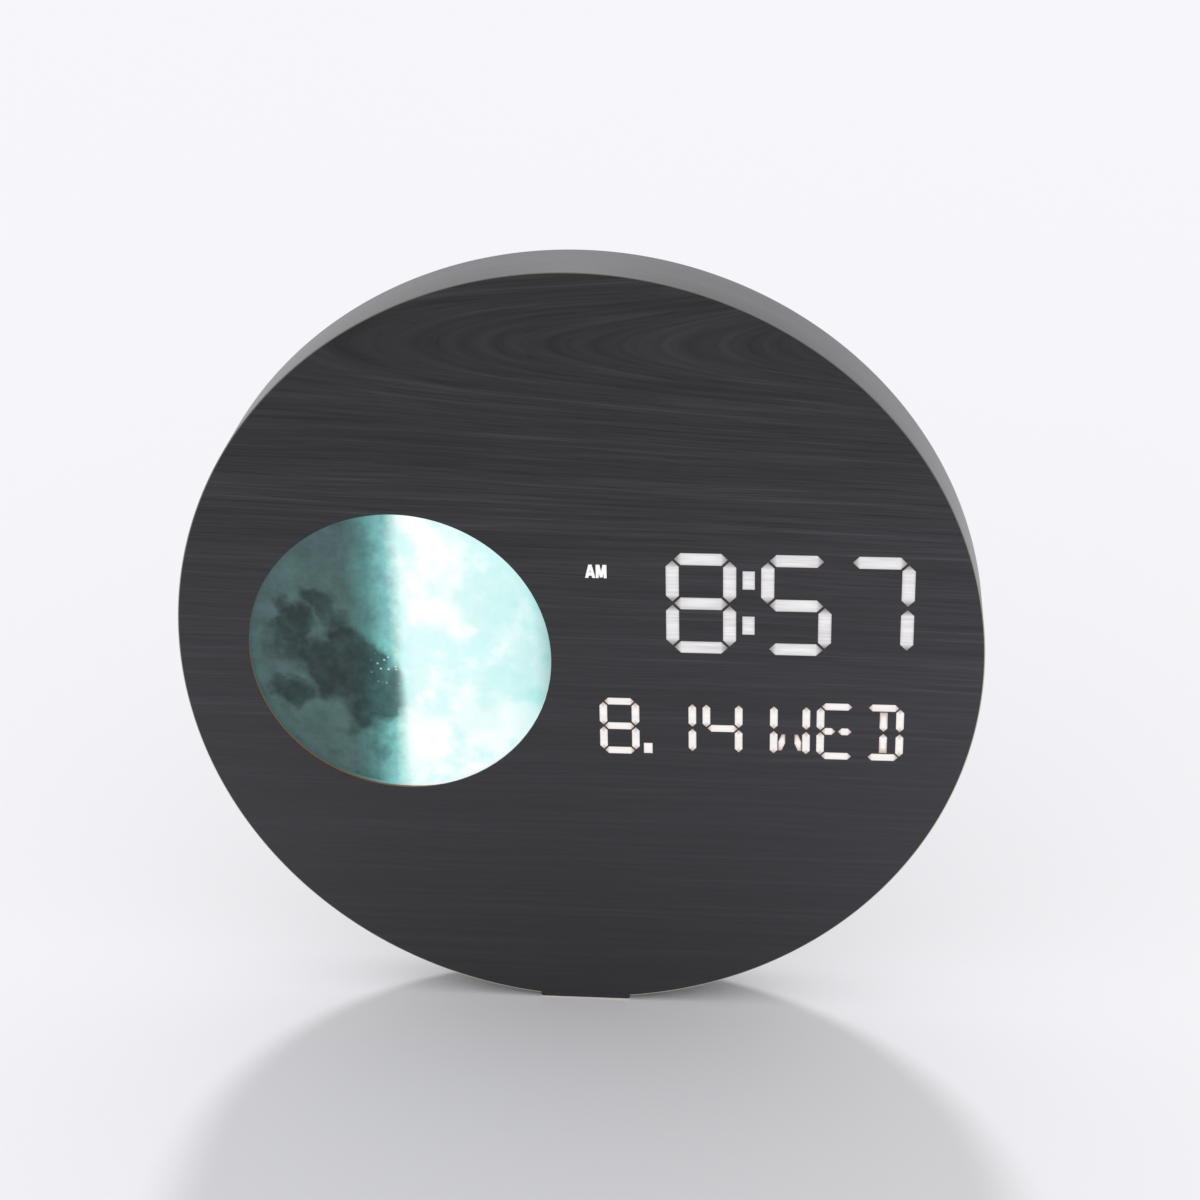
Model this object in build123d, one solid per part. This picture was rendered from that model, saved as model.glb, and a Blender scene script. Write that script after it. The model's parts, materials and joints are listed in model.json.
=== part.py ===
from build123d import *
import os
from math import asin, cos, degrees, hypot, radians, sin, tan

# Moon phase desk clock: a thick round disc that stands on its rim, leaning back a little.
# The pieces are drawn in the disc's own frame: X to the viewer's right, Y from the face towards
# the back, Z up the face, and zero at the middle of the face. on_table() then leans the disc back
# and puts the origin at the middle of the base pad's underside, with +Z up. Millimetres.

# Clearances
overrun = 1.0
pocket_gap = 0.25
sliding_gap = 0.08
running_gap = 0.05
thread_gap = 0.05
rest_gap = 0.1

# Disc, from the face to the back
disc_diameter = 250.0
face_film_thickness = 0.4
edge_film_thickness = 0.4
face_board_thickness = 2.6
body_thickness = 18.0
body_web_thickness = 7.3
body_rim_width = 11.1
cover_rim_width = 4.1
cover_thickness = 2.0
lean_angle = 1.5

# Moon window and its lamp
moon_window_diameter = 95.0
moon_centre_x = -55.3
moon_centre_z = 0.0
moon_recess_depth = 2.4
moon_disc_lap = 1.8
moon_disc_thickness = 2.0
moon_diffuser_thickness = 1.5
light_box_wall = 1.6
light_box_depth = 8.4
light_box_flange_width = 5.4
light_box_flange_thickness = 1.6
light_box_boss_diameter = 7.0
light_box_screw_count = 3
moon_strip_count = 8
baffle_thickness = 1.0
moon_board_thickness = 1.6
moon_led_width = 3.5
moon_led_height = 2.8
moon_led_depth = 1.2
moon_led_pitch = 11.5

# Time row: two pairs of seven-bar digits, a colon and the AM window
time_digit_width = 21.35
time_digit_height = 33.67
time_stroke = 3.95
time_bar_gap = 0.3
time_row_z = 3.05
time_digit_gap = 3.54
display_gap = 10.4
hour_pair_inset = 0.47
colon_gap = 1.93
colon_width = 3.69
colon_height = 6.1
colon_lower_rise = 6.75
colon_upper_rise = 21.95
am_window_inset = 0.8
am_window_rise = 24.75
am_window_width = 6.6
am_window_height = 4.45
time_led_width = 1.0
time_led_length = 1.6

# Date row: the month, a dot and the day in seven bars, the weekday in fourteen
date_digit_width = 12.38
date_digit_height = 19.67
date_stroke = 2.36
date_bar_gap = 0.22
date_row_z = -32.93
date_digit_gap = 2.02
month_tens_width = 4.28
dot_gap = 1.32
weekday_gap = 8.53
dot_width = 2.7
dot_height = 3.6
dot_rise = 0.4
inner_bar_gap = 0.36
diagonal_gap = 0.3
diagonal_flat_share = 0.5
diagonal_side_share = 0.55
date_led_width = 0.5
date_led_length = 0.8

# Reflector blocks and the boards behind them
display_margin = 2.4
diffuser_sheet_thickness = 0.3
funnel_narrowing_share = 0.6
led_depth = 0.5
display_board_thickness = 1.6
display_board_lap = 0.4
display_screw_insets = [12.4, 50.4, 88.4]

# Control board and what it carries
control_board_inset = 19.4
control_board_z = 61.0
control_board_width = 84.0
control_board_height = 34.0
control_board_thickness = 1.6
standoff_width = 5.6
standoff_height = 3.0
standoff_inset = 4.0
chip_height = 1.2
processor_side = 10.0
processor_offset_x = 0.0
driver_chip_width = 7.0
driver_chip_length = 5.0
driver_chip_spacing = 16.0
chip_row_rise = 9.5
clock_crystal_width = 8.0
clock_crystal_length = 3.2
clock_crystal_offset_x = 30.0
buzzer_diameter = 12.0
buzzer_height = 3.0
buzzer_offset_x = -33.0
buzzer_hole_diameter = 2.0
ribbon_width = 16.0
ribbon_thickness = 0.6
connector_height = 1.6
connector_length = 3.0
connector_wall = 1.5

# Push buttons in the back cover, each over a switch on the control board
button_count = 4
button_pitch = 14.0
button_row_drop = 3.0
button_diameter = 6.8
button_proud = 1.2
button_flange_diameter = 9.0
button_flange_thickness = 0.8
button_travel = 0.6
switch_side = 6.0
switch_height = 2.0
plunger_diameter = 3.0
plunger_length = 1.3
plunger_proud = 0.5

# Backup cell, its holder and the quarter-turn cap over it
cell_diameter = 20.0
cell_thickness = 3.2
cell_x = -45.0
cell_z = -76.0
holder_wall = 1.35
holder_floor_thickness = 1.2
holder_floor_rise = 3.3
holder_rim_height = 7.3
holder_ear_thickness = 1.2
holder_ear_width = 8.0
holder_ear_reach = 6.2
contact_diameter = 8.0
contact_thickness = 0.3
cap_diameter = 26.2
cap_thickness = 1.2
cap_spigot_diameter = 23.2
cap_spigot_wall = 1.2
cap_lug_reach = 1.6
cap_lug_width = 5.0
cap_lug_thickness = 1.0
cap_slot_length = 13.0
cap_slot_width = 1.8
cap_slot_depth = 0.6
cap_turn = 60.0

# Power inlet
inlet_x = 46.0
inlet_z = -72.0
inlet_barrel_diameter = 8.0
inlet_flange_diameter = 11.0
inlet_flange_thickness = 1.0
inlet_length = 10.0
inlet_bore_diameter = 5.6
inlet_bore_depth = 9.0
inlet_pin_diameter = 2.0
inlet_pin_setback = 0.5
inlet_nut_width = 10.0
inlet_nut_thickness = 2.0

# Keyhole plate for hanging, on a solid block at the top of the body
top_block_width = 52.0
top_block_height = 33.0
hanger_inset = 19.5
hanger_width = 40.0
hanger_height = 22.0
hanger_thickness = 1.2
hanger_corner = 3.0
keyhole_diameter = 9.0
keyhole_slot_width = 4.6
keyhole_slot_length = 7.0
keyhole_drop = 3.0
keyhole_pocket_gap = 1.2
keyhole_pocket_depth = 7.0
hanger_screw_spacing = 30.0

# Rear leg: it folds up flat behind the disc, on a bracket screwed to the bottom block
bottom_block_width = 62.0
bottom_block_height = 20.5
hinge_inset = 19.0
hinge_pin_diameter = 3.0
hinge_pin_head_diameter = 4.6
hinge_pin_head_thickness = 0.8
knuckle_diameter = 7.2
knuckle_width = 23.6
ear_thickness = 2.5
bracket_width = 54.0
bracket_height = 14.0
bracket_thickness = 1.6
bracket_corner = 2.0
bracket_screw_spacing = 41.0
hinge_lift = 0.4
leg_length = 64.0
leg_thickness = 4.0
leg_root_width = 20.0
leg_tip_width = 48.0
leg_corner = 5.0
leg_rib_width = 2.4
leg_rib_height = 0.8
leg_rib_count = 3
leg_rib_spacing = 6.5
leg_rib_start = 9.0
leg_rib_end = 52.0
leg_foot_rise = 4.2
leg_pad_width = 36.0
leg_pad_length = 7.0
leg_pad_setback = 2.0
heel_drop = 7.0
heel_thickness = 3.0

# Base pad under the rim
base_pad_width = 29.5
base_pad_proud = 0.85
base_pad_inset = 0.3
base_pad_corner = 1.0

# Screws
cover_screw_count = 6
cover_screw_length = 8.0
wood_screw_diameter = 2.6
wood_screw_head_diameter = 5.2
wood_screw_head_height = 1.4
wood_screw_length = 6.0
board_screw_diameter = 2.0
board_screw_head_diameter = 3.8
board_screw_head_height = 1.2
board_screw_length = 4.4

# Depths, radii and places that follow from the sizes above
disc_radius = disc_diameter / 2
core_radius = disc_radius - edge_film_thickness
board_front = face_film_thickness
body_front = board_front + face_board_thickness
disc_back = body_front + body_thickness
cavity_radius = core_radius - body_rim_width
rabbet_radius = core_radius - cover_rim_width
web_back = body_front + body_web_thickness
cover_front = disc_back - cover_thickness
moon_radius = moon_window_diameter / 2
moon_seat_radius = moon_radius + moon_disc_lap
light_box_front = moon_recess_depth + moon_disc_thickness + moon_diffuser_thickness
light_box_back = light_box_front + light_box_depth
reflector_front = body_front + diffuser_sheet_thickness
control_front = web_back + standoff_height
control_back = control_front + control_board_thickness
display_x = moon_centre_x + moon_radius + display_gap
hour_pair_x = display_x + hour_pair_inset
time_digit_pitch = time_digit_width + time_digit_gap
colon_x = hour_pair_x + time_digit_pitch + time_digit_width + colon_gap
minute_pair_x = colon_x + colon_width + colon_gap
date_digit_pitch = date_digit_width + date_digit_gap
month_units_x = display_x + month_tens_width
dot_x = month_units_x + date_digit_width + dot_gap
day_pair_x = dot_x + dot_width + dot_gap
weekday_x = day_pair_x + date_digit_pitch + date_digit_width + weekday_gap
row_gap_z = (time_row_z + date_row_z + date_digit_height) / 2
control_board_x = display_x + control_board_inset
button_row_z = control_board_z - button_row_drop
top_block_z = cavity_radius - top_block_height
bottom_block_z = bottom_block_height - cavity_radius
hanger_z = cavity_radius - hanger_inset
hinge_z = hinge_inset - disc_radius
hinge_y = disc_back + bracket_thickness + knuckle_diameter / 2 + hinge_lift
slope = tan(radians(lean_angle))


def floor_z(depth):
    """Height of the table top, in the disc's frame, at a depth behind the face."""
    return -disc_radius - base_pad_proud + depth * slope


hinge_height = hinge_z - floor_z(hinge_y)
leg_rise = (hinge_height - leg_foot_rise) * cos(radians(lean_angle))
leg_drop_angle = degrees(asin(leg_rise / leg_length)) - lean_angle
leg_fold_angle = 90 + leg_drop_angle
pad_middle = disc_back / 2


def on_table(shape):
    """Lean a finished piece back with the disc and stand it on the table."""
    leaned = Rot(-lean_angle, 0, 0)
    rest_y = pad_middle * cos(radians(lean_angle)) + floor_z(pad_middle) * sin(radians(lean_angle))
    rest_z = floor_z(pad_middle) * cos(radians(lean_angle)) - pad_middle * sin(radians(lean_angle))
    return Pos(0, -rest_y, -rest_z) * leaned * shape


def at_depth(depth):
    """A drawing plane parallel to the face, with its own y up the disc."""
    return Plane(origin=(0, depth, 0), x_dir=(1, 0, 0), z_dir=(0, -1, 0))


def slab(sketch, front, thickness):
    """A sketch of the face made thick, from front towards the back."""
    return extrude(at_depth(front) * sketch, -thickness)


def disc(x, z, diameter, front, thickness):
    return slab(Pos(x, z) * Circle(diameter / 2), front, thickness)


def block(x, z, width, height, front, thickness):
    return slab(Pos(x, z) * Rectangle(width, height), front, thickness)


def group(solids):
    """Separate solids that share one node."""
    return Compound(children=list(solids))


def six_sided(x, z, corner_diameter, front, thickness):
    """Hexagonal bar along the disc's axis, measured across its corners."""
    return slab(Pos(x, z) * RegularPolygon(corner_diameter / 2, 6), front, thickness)


def wood_screw(x, z, seat, length=wood_screw_length):
    """A round-headed screw driven from the back, with its head on seat; six flats stand for its thread."""
    head = disc(x, z, wood_screw_head_diameter, seat, wood_screw_head_height)
    return head + six_sided(x, z, wood_screw_diameter, seat - length, length)


def board_screw(x, z, seat):
    """A small screw with a hexagonal head."""
    head = six_sided(x, z, board_screw_head_diameter, seat, board_screw_head_height)
    return head + six_sided(x, z, board_screw_diameter, seat - board_screw_length, board_screw_length)


def wood_pilot(x, z, seat, length=wood_screw_length):
    """The hole that a wood screw's thread cuts, from its seat forwards."""
    return six_sided(x, z, wood_screw_diameter + 2 * thread_gap, seat - length - rest_gap, length + rest_gap)


def board_pilot(x, z, front, length):
    """The hole that a board screw's thread cuts."""
    return six_sided(x, z, board_screw_diameter + 2 * thread_gap, front, length)


def clear_hole(x, z, diameter, front, thickness):
    """A hole that a screw passes through freely."""
    return disc(x, z, diameter + 2 * pocket_gap, front - overrun, thickness + 2 * overrun)


# Display: the outline of every lit bar, as points in the disc's frame


def bar(x, z, length, stroke, upright):
    """Six-sided bar with pointed ends, centred at x and z."""
    half, tip = stroke / 2, length / 2 - stroke / 2
    flat = [(-length / 2, 0), (-tip, -half), (tip, -half), (length / 2, 0), (tip, half), (-tip, half)]
    if upright:
        return [(x - across, z + along) for along, across in flat]
    return [(x + along, z + across) for along, across in flat]


def box_outline(x, z, width, height):
    """Rectangle from its lower left corner."""
    return [(x, z), (x + width, z), (x + width, z + height), (x, z + height)]


def seven_bars(x, z, width, height, stroke, gap, names="abcdefg"):
    """The bars of one digit, whose lower left corner is at x and z."""
    left, right, middle = x + stroke / 2, x + width - stroke / 2, x + width / 2
    low, high, half = z + stroke / 2, z + height - stroke / 2, z + height / 2
    across = right - left - 2 * gap
    along = half - low - 2 * gap
    places = {
        "a": (middle, high, across, False),
        "b": (right, (half + high) / 2, along, True),
        "c": (right, (low + half) / 2, along, True),
        "d": (middle, low, across, False),
        "e": (left, (low + half) / 2, along, True),
        "f": (left, (half + high) / 2, along, True),
        "g": (middle, half, across, False),
    }
    return [bar(px, pz, length, stroke, upright) for px, pz, length, upright in map(places.get, names)]


def inner_upright(x, outer_z, middle_z, stroke):
    """Centre bar of a letter: flat at its outer end, pointed towards the middle."""
    half = stroke / 2
    shoulder = middle_z + half * (1 if outer_z > middle_z else -1)
    left, right = x - half, x + half
    return [(left, outer_z), (right, outer_z), (right, shoulder), (x, middle_z), (left, shoulder)]


def diagonal(start, end):
    """Slanted bar between two corners of its field, with flat ends and short upright sides."""
    flat = (end[0] - start[0]) * diagonal_flat_share
    side = (end[1] - start[1]) * diagonal_side_share
    first = [(start[0], start[1] + side), start, (start[0] + flat, start[1])]
    return first + [(end[0], end[1] - side), end, (end[0] - flat, end[1])]


def fourteen_bars(x, z, width, height, stroke, gap):
    """The bars of one letter: a digit's outer six and eight inside them."""
    bars = seven_bars(x, z, width, height, stroke, gap, "abcdef")
    left, right, middle = x + stroke / 2, x + width - stroke / 2, x + width / 2
    half = z + height / 2
    arm = middle - left - 2 * gap
    bars.append(bar((left + middle) / 2, half, arm, stroke, False))
    bars.append(bar((middle + right) / 2, half, arm, stroke, False))
    for side in (-1, 1):
        outer = half + side * (height / 2 - stroke - inner_bar_gap)
        bars.append(inner_upright(middle, outer, half + side * gap, stroke))
        near = half + side * (stroke / 2 + diagonal_gap)
        far = half + side * (height / 2 - stroke - diagonal_gap)
        for column, inward in ((left, 1), (right, -1)):
            outside = column + inward * (stroke / 2 + diagonal_gap)
            inside = middle - inward * (stroke / 2 + diagonal_gap)
            bars.append(diagonal((outside, far), (inside, near)))
    return bars


def time_bars():
    """Every bar of the time row; the first digit lacks the bar where the AM window is."""
    digit = (time_row_z, time_digit_width, time_digit_height, time_stroke, time_bar_gap)
    bars = seven_bars(hour_pair_x, *digit, "abcdeg")
    for x in (hour_pair_x + time_digit_pitch, minute_pair_x, minute_pair_x + time_digit_pitch):
        bars += seven_bars(x, *digit)
    for rise in (colon_lower_rise, colon_upper_rise):
        bars.append(box_outline(colon_x, time_row_z + rise, colon_width, colon_height))
    am_x, am_z = display_x + am_window_inset, time_row_z + am_window_rise
    bars.append(box_outline(am_x, am_z, am_window_width, am_window_height))
    return bars


def date_bars():
    """Every bar of the date row."""
    digit = (date_row_z, date_digit_width, date_digit_height, date_stroke, date_bar_gap)
    one_x = display_x - date_digit_width + date_stroke
    bars = seven_bars(one_x, *digit, "bc")
    for x in (month_units_x, day_pair_x, day_pair_x + date_digit_pitch):
        bars += seven_bars(x, *digit)
    for place in range(3):
        bars += fourteen_bars(weekday_x + place * date_digit_pitch, *digit)
    bars.append(box_outline(dot_x, date_row_z + dot_rise, dot_width, dot_height))
    return bars


def outline_face(points):
    """A flat face that looks towards the viewer, whichever way its outline runs."""
    following = points[1:] + points[:1]
    turning = sum(px * qz - qx * pz for (px, pz), (qx, qz) in zip(points, following))
    return Polygon(*(points if turning > 0 else points[::-1]), align=None)


def middle_of(points):
    return (sum(p[0] for p in points) / len(points), sum(p[1] for p in points) / len(points))


def row_field(bars):
    """Low x, low z, width and height of a row's reflector block."""
    xs = [p[0] for points in bars for p in points]
    zs = [p[1] for points in bars for p in points]
    low_x, low_z = min(xs) - display_margin, min(zs) - display_margin
    return low_x, low_z, max(xs) + display_margin - low_x, max(zs) + display_margin - low_z


time_row = time_bars()
date_row = date_bars()
row_fields = [row_field(time_row), row_field(date_row)]


def field_slab(field, grow, front, thickness):
    low_x, low_z, width, height = field
    face = outline_face(box_outline(low_x - grow, low_z - grow, width + 2 * grow, height + 2 * grow))
    return slab(face, front, thickness)


# Face and body


def face_film():
    """Printed wood-grain film over the whole face, open only at the moon."""
    return disc(0, 0, disc_diameter, 0, face_film_thickness) - disc(
        moon_centre_x, moon_centre_z, moon_window_diameter, -overrun, face_film_thickness + 2 * overrun
    )


def edge_film():
    """The same film wrapped round the rim."""
    depth = disc_back - board_front
    return disc(0, 0, disc_diameter, board_front, depth) - disc(
        0, 0, 2 * core_radius, board_front - overrun, depth + 2 * overrun
    )


def face_board():
    """Thin front board with an opening for every bar, and the moon's seat cut from behind."""
    holes = [outline_face(points) for points in time_row + date_row]
    face = Circle(core_radius) - Pos(moon_centre_x, moon_centre_z) * Circle(moon_radius) - holes
    board = slab(face, board_front, face_board_thickness)
    seat_depth = body_front - moon_recess_depth
    seat = 2 * moon_seat_radius
    return board - disc(moon_centre_x, moon_centre_z, seat, moon_recess_depth, seat_depth + overrun)


def cavity_bays():
    """Room round the light box's flange and each board, wherever they reach past the round cavity."""
    flange = moon_seat_radius + light_box_flange_width + pocket_gap
    low_x, low_z, width, height = display_board_field()
    around = 2 * pocket_gap
    lamps = Pos(moon_centre_x, moon_centre_z) * Circle(flange)
    display = Rectangle(width + around, height + around)
    control = Rectangle(control_board_width + around, control_board_height + around)
    return [
        lamps,
        Pos(low_x + width / 2, low_z + height / 2) * display,
        Pos(control_board_x, control_board_z) * control,
    ]


def body():
    """Thick board routed from both sides: lamp and display pockets, and the cavity behind them."""
    solid = disc(0, 0, 2 * core_radius, body_front, body_thickness)
    solid -= disc(0, 0, 2 * rabbet_radius, cover_front, cover_thickness + overrun)
    top = Pos(0, top_block_z + disc_radius / 2) * Rectangle(top_block_width, disc_radius)
    bottom = Pos(0, bottom_block_z - disc_radius / 2) * Rectangle(bottom_block_width, disc_radius)
    cavity = Circle(cavity_radius) + cavity_bays() - top - bottom
    solid -= slab(cavity, web_back, cover_front - web_back + overrun)
    web_cut, web_cut_depth = body_front - overrun, body_web_thickness + 2 * overrun
    solid -= disc(moon_centre_x, moon_centre_z, 2 * moon_seat_radius, web_cut, web_cut_depth)
    for field in row_fields:
        solid -= field_slab(field, pocket_gap, web_cut, web_cut_depth)
    keyhole_front = cover_front - keyhole_pocket_depth
    solid -= keyhole_sweep(keyhole_front, keyhole_pocket_depth + overrun, keyhole_pocket_gap)
    for x, z in cover_screw_places():
        solid -= wood_pilot(x, z, disc_back, cover_screw_length)
    for x, z in hanger_screw_places():
        solid -= wood_pilot(x, z, cover_front)
    for x, z in bracket_screw_places():
        solid -= wood_pilot(x, z, cover_front)
    for x, z in light_box_screw_places() + holder_screw_places():
        solid -= wood_pilot(x, z, web_back)
    for x, z in display_screw_places():
        solid -= board_pilot(x, z, web_back - board_screw_length, board_screw_length)
    return solid


def moon_disc():
    """Printed acrylic disc, seated behind the window."""
    diameter = 2 * (moon_seat_radius - pocket_gap)
    return disc(moon_centre_x, moon_centre_z, diameter, moon_recess_depth, moon_disc_thickness)


def moon_diffuser():
    """Frosted disc behind the printed one."""
    front = moon_recess_depth + moon_disc_thickness
    diameter = 2 * (moon_seat_radius - pocket_gap)
    return disc(moon_centre_x, moon_centre_z, diameter, front, moon_diffuser_thickness)


def light_box_screw_places():
    """Screws round the light box's flange, where no board lies beside it."""
    circle = moon_seat_radius + light_box_flange_width / 2
    first = 90
    step = 180 / (light_box_screw_count - 1)
    turns = [radians(first + i * step) for i in range(light_box_screw_count)]
    return [(moon_centre_x + circle * cos(a), moon_centre_z + circle * sin(a)) for a in turns]


def moon_board_screw_places():
    """Screws into the four bosses inside the light box's wall."""
    circle = moon_seat_radius - pocket_gap - light_box_boss_diameter / 2
    turns = [radians(a) for a in (45, 135, 225, 315)]
    return [(moon_centre_x + circle * cos(a), moon_centre_z + circle * sin(a)) for a in turns]


def strip_pitch():
    return 2 * (moon_seat_radius - pocket_gap - light_box_wall) / moon_strip_count


def light_box():
    """Round frame of upright baffles, so that each strip of the moon is lit by itself."""
    outer = moon_seat_radius - pocket_gap
    inner = outer - light_box_wall
    ring = disc(moon_centre_x, moon_centre_z, 2 * outer, light_box_front, light_box_depth)
    flange = 2 * (moon_seat_radius + light_box_flange_width)
    ring += disc(moon_centre_x, moon_centre_z, flange, web_back, light_box_flange_thickness)
    core = Pos(moon_centre_x, moon_centre_z) * Circle(inner)
    for i in range(1, moon_strip_count):
        x = moon_centre_x + (i - moon_strip_count / 2) * strip_pitch()
        core -= Pos(x, moon_centre_z) * Rectangle(baffle_thickness, 2 * outer)
    for x, z in moon_board_screw_places():
        core -= Pos(x, z) * Circle(light_box_boss_diameter / 2)
    box = ring - slab(core, light_box_front - overrun, light_box_depth + 2 * overrun)
    for x, z in moon_board_screw_places():
        box -= board_pilot(x, z, light_box_back - board_screw_length, board_screw_length + overrun)
    for x, z in light_box_screw_places():
        box -= clear_hole(x, z, wood_screw_diameter, web_back, light_box_flange_thickness)
    return box


def moon_led_board():
    diameter = 2 * (moon_seat_radius - pocket_gap)
    board = disc(moon_centre_x, moon_centre_z, diameter, light_box_back, moon_board_thickness)
    for x, z in moon_board_screw_places():
        board -= clear_hole(x, z, board_screw_diameter, light_box_back, moon_board_thickness)
    return board


def moon_leds():
    """A column of lamps in every strip, as many as the strip's height holds."""
    inner = moon_seat_radius - pocket_gap - light_box_wall - moon_led_height
    bosses = moon_board_screw_places()
    lamps = []
    for i in range(moon_strip_count):
        offset = (i + 0.5 - moon_strip_count / 2) * strip_pitch()
        rows = int((inner**2 - offset**2) ** 0.5 / moon_led_pitch)
        for row in range(-rows, rows + 1):
            x, z = moon_centre_x + offset, moon_centre_z + row * moon_led_pitch
            room = light_box_boss_diameter / 2 + hypot(moon_led_width, moon_led_height) / 2
            if all(hypot(x - bx, z - bz) > room for bx, bz in bosses):
                front = light_box_back - moon_led_depth
                lamps.append(block(x, z, moon_led_width, moon_led_height, front, moon_led_depth))
    return group(lamps)


def diffuser_sheets():
    """A thin frosted sheet between the face board and each reflector."""
    return group(field_slab(field, 0, body_front, diffuser_sheet_thickness) for field in row_fields)


def funnel(points):
    """Flat-sided passage through a reflector that narrows from a bar's outline towards its lamp."""
    x, z = middle_of(points)
    share = funnel_narrowing_share
    mouth = [(px, reflector_front, pz) for px, pz in points]
    throat = [(x + (px - x) * share, web_back, z + (pz - z) * share) for px, pz in points]
    walls = [(mouth[i - 1], mouth[i], throat[i], throat[i - 1]) for i in range(len(points))]
    return Solid(Shell([Face(Wire.make_polygon(corners)) for corners in [mouth, throat, *walls]]))


def reflector(bars, field):
    """Moulded block with a funnel for each bar."""
    solid = field_slab(field, 0, reflector_front, web_back - reflector_front)
    return solid - [funnel(points) for points in bars]


def display_leds(bars, width, length):
    lamps = []
    for points in bars:
        x, z = middle_of(points)
        lamps.append(block(x, z, width, length, web_back - led_depth, led_depth))
    return group(lamps)


def display_screw_places():
    return [(display_x + inset, row_gap_z) for inset in display_screw_insets]


def display_board_field():
    """Low x, low z, width and height of the board, which laps both reflectors."""
    low_x = min(f[0] for f in row_fields) - display_board_lap
    high_x = max(f[0] + f[2] for f in row_fields)
    low_z = min(f[1] for f in row_fields) - display_board_lap
    high_z = max(f[1] + f[3] for f in row_fields) + display_board_lap
    return low_x, low_z, high_x - low_x, high_z - low_z


def display_board():
    """One board behind both reflectors."""
    board = field_slab(display_board_field(), 0, web_back, display_board_thickness)
    for x, z in display_screw_places():
        board -= clear_hole(x, z, board_screw_diameter, web_back, display_board_thickness)
    return board


# Control board


def standoff_places():
    """A place inset from each corner of the control board."""
    half_width = control_board_width / 2 - standoff_inset
    half_height = control_board_height / 2 - standoff_inset
    xs = (control_board_x - half_width, control_board_x + half_width)
    zs = (control_board_z - half_height, control_board_z + half_height)
    return [(x, z) for x in xs for z in zs]


def standoffs():
    """Threaded hexagonal spacers under the control board's corners."""
    tubes = []
    for x, z in standoff_places():
        tube = six_sided(x, z, standoff_width, web_back, standoff_height)
        tubes.append(tube - board_pilot(x, z, web_back - overrun, standoff_height + 2 * overrun))
    return group(tubes)


def control_board():
    size = (control_board_width, control_board_height)
    board = block(control_board_x, control_board_z, *size, control_front, control_board_thickness)
    for x, z in standoff_places():
        board -= clear_hole(x, z, board_screw_diameter, control_front, control_board_thickness)
    return board


def chips():
    """Processor, two lamp drivers and the time crystal."""
    z = control_board_z + chip_row_rise
    processor_x = control_board_x + processor_offset_x
    parts = [block(processor_x, z, processor_side, processor_side, control_back, chip_height)]
    for side in (-1, 1):
        x = processor_x + side * driver_chip_spacing
        parts.append(block(x, z, driver_chip_width, driver_chip_length, control_back, chip_height))
    crystal_x = control_board_x + clock_crystal_offset_x
    parts.append(block(crystal_x, z, clock_crystal_width, clock_crystal_length, control_back, chip_height))
    return group(parts)


def buzzer():
    x = control_board_x + buzzer_offset_x
    drum = disc(x, control_board_z, buzzer_diameter, control_back, buzzer_height)
    top = control_back + buzzer_height
    return drum - disc(x, control_board_z, buzzer_hole_diameter, top - overrun, 2 * overrun)


def button_xs():
    middle = (button_count - 1) / 2
    return [control_board_x + (i - middle) * button_pitch for i in range(button_count)]


def button(x):
    """Cap with a flange that keeps it behind the cover and a stem on the plunger."""
    flange_back = cover_front - rest_gap
    flange_front = flange_back - button_flange_thickness
    cap = disc(x, button_row_z, button_diameter, flange_back, disc_back + button_proud - flange_back)
    cap += disc(x, button_row_z, button_flange_diameter, flange_front, button_flange_thickness)
    plunger_top = control_back + switch_height + plunger_proud
    return cap + disc(x, button_row_z, plunger_diameter, plunger_top, flange_front - plunger_top)


def switch_bodies():
    """Switch cases with a well for the plunger to sink into."""
    cases = []
    well_depth = plunger_length - plunger_proud + button_travel + rest_gap
    well_diameter = plunger_diameter + 2 * sliding_gap
    top = control_back + switch_height
    for x in button_xs():
        case = block(x, button_row_z, switch_side, switch_side, control_back, switch_height)
        cases.append(case - disc(x, button_row_z, well_diameter, top - well_depth, well_depth + overrun))
    return group(cases)


def plunger(x):
    top = control_back + switch_height + plunger_proud
    return disc(x, button_row_z, plunger_diameter, top - plunger_length, plunger_length)


# Backup cell


def holder_screw_places():
    reach = cell_diameter / 2 + holder_wall + holder_ear_reach / 2 + pocket_gap
    return [(cell_x + side * reach, cell_z) for side in (-1, 1)]


def cell_holder():
    """Cup with a floor part way up and two screw ears."""
    inner = cell_diameter + 2 * pocket_gap
    outer = inner + 2 * holder_wall
    cup = disc(cell_x, cell_z, outer, web_back, holder_rim_height)
    cup -= disc(cell_x, cell_z, inner, web_back - overrun, holder_floor_rise + overrun)
    floor_top = holder_floor_rise + holder_floor_thickness
    cup -= disc(cell_x, cell_z, inner, web_back + floor_top, holder_rim_height)
    ear_span = outer + 2 * holder_ear_reach
    ears = block(cell_x, cell_z, ear_span, holder_ear_width, web_back, holder_ear_thickness)
    cup += ears - disc(cell_x, cell_z, inner, web_back - overrun, holder_ear_thickness + 2 * overrun)
    for x, z in holder_screw_places():
        cup -= clear_hole(x, z, wood_screw_diameter, web_back, holder_ear_thickness)
    return cup


def cell_seat():
    return web_back + holder_floor_rise + holder_floor_thickness


def cell_contact():
    return disc(cell_x, cell_z, contact_diameter, cell_seat(), contact_thickness)


def backup_cell():
    return disc(cell_x, cell_z, cell_diameter, cell_seat() + contact_thickness, cell_thickness)


def cap_lugs(turn, grow, front, thickness):
    """The two lugs that lock the cap, or their notches in the cover."""
    reach = cap_spigot_diameter / 2 + cap_lug_reach + grow
    bar_face = Rectangle(2 * reach, cap_lug_width + 2 * grow) & Circle(reach)
    return slab(Pos(cell_x, cell_z) * Rot(0, 0, turn) * bar_face, front, thickness)


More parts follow.
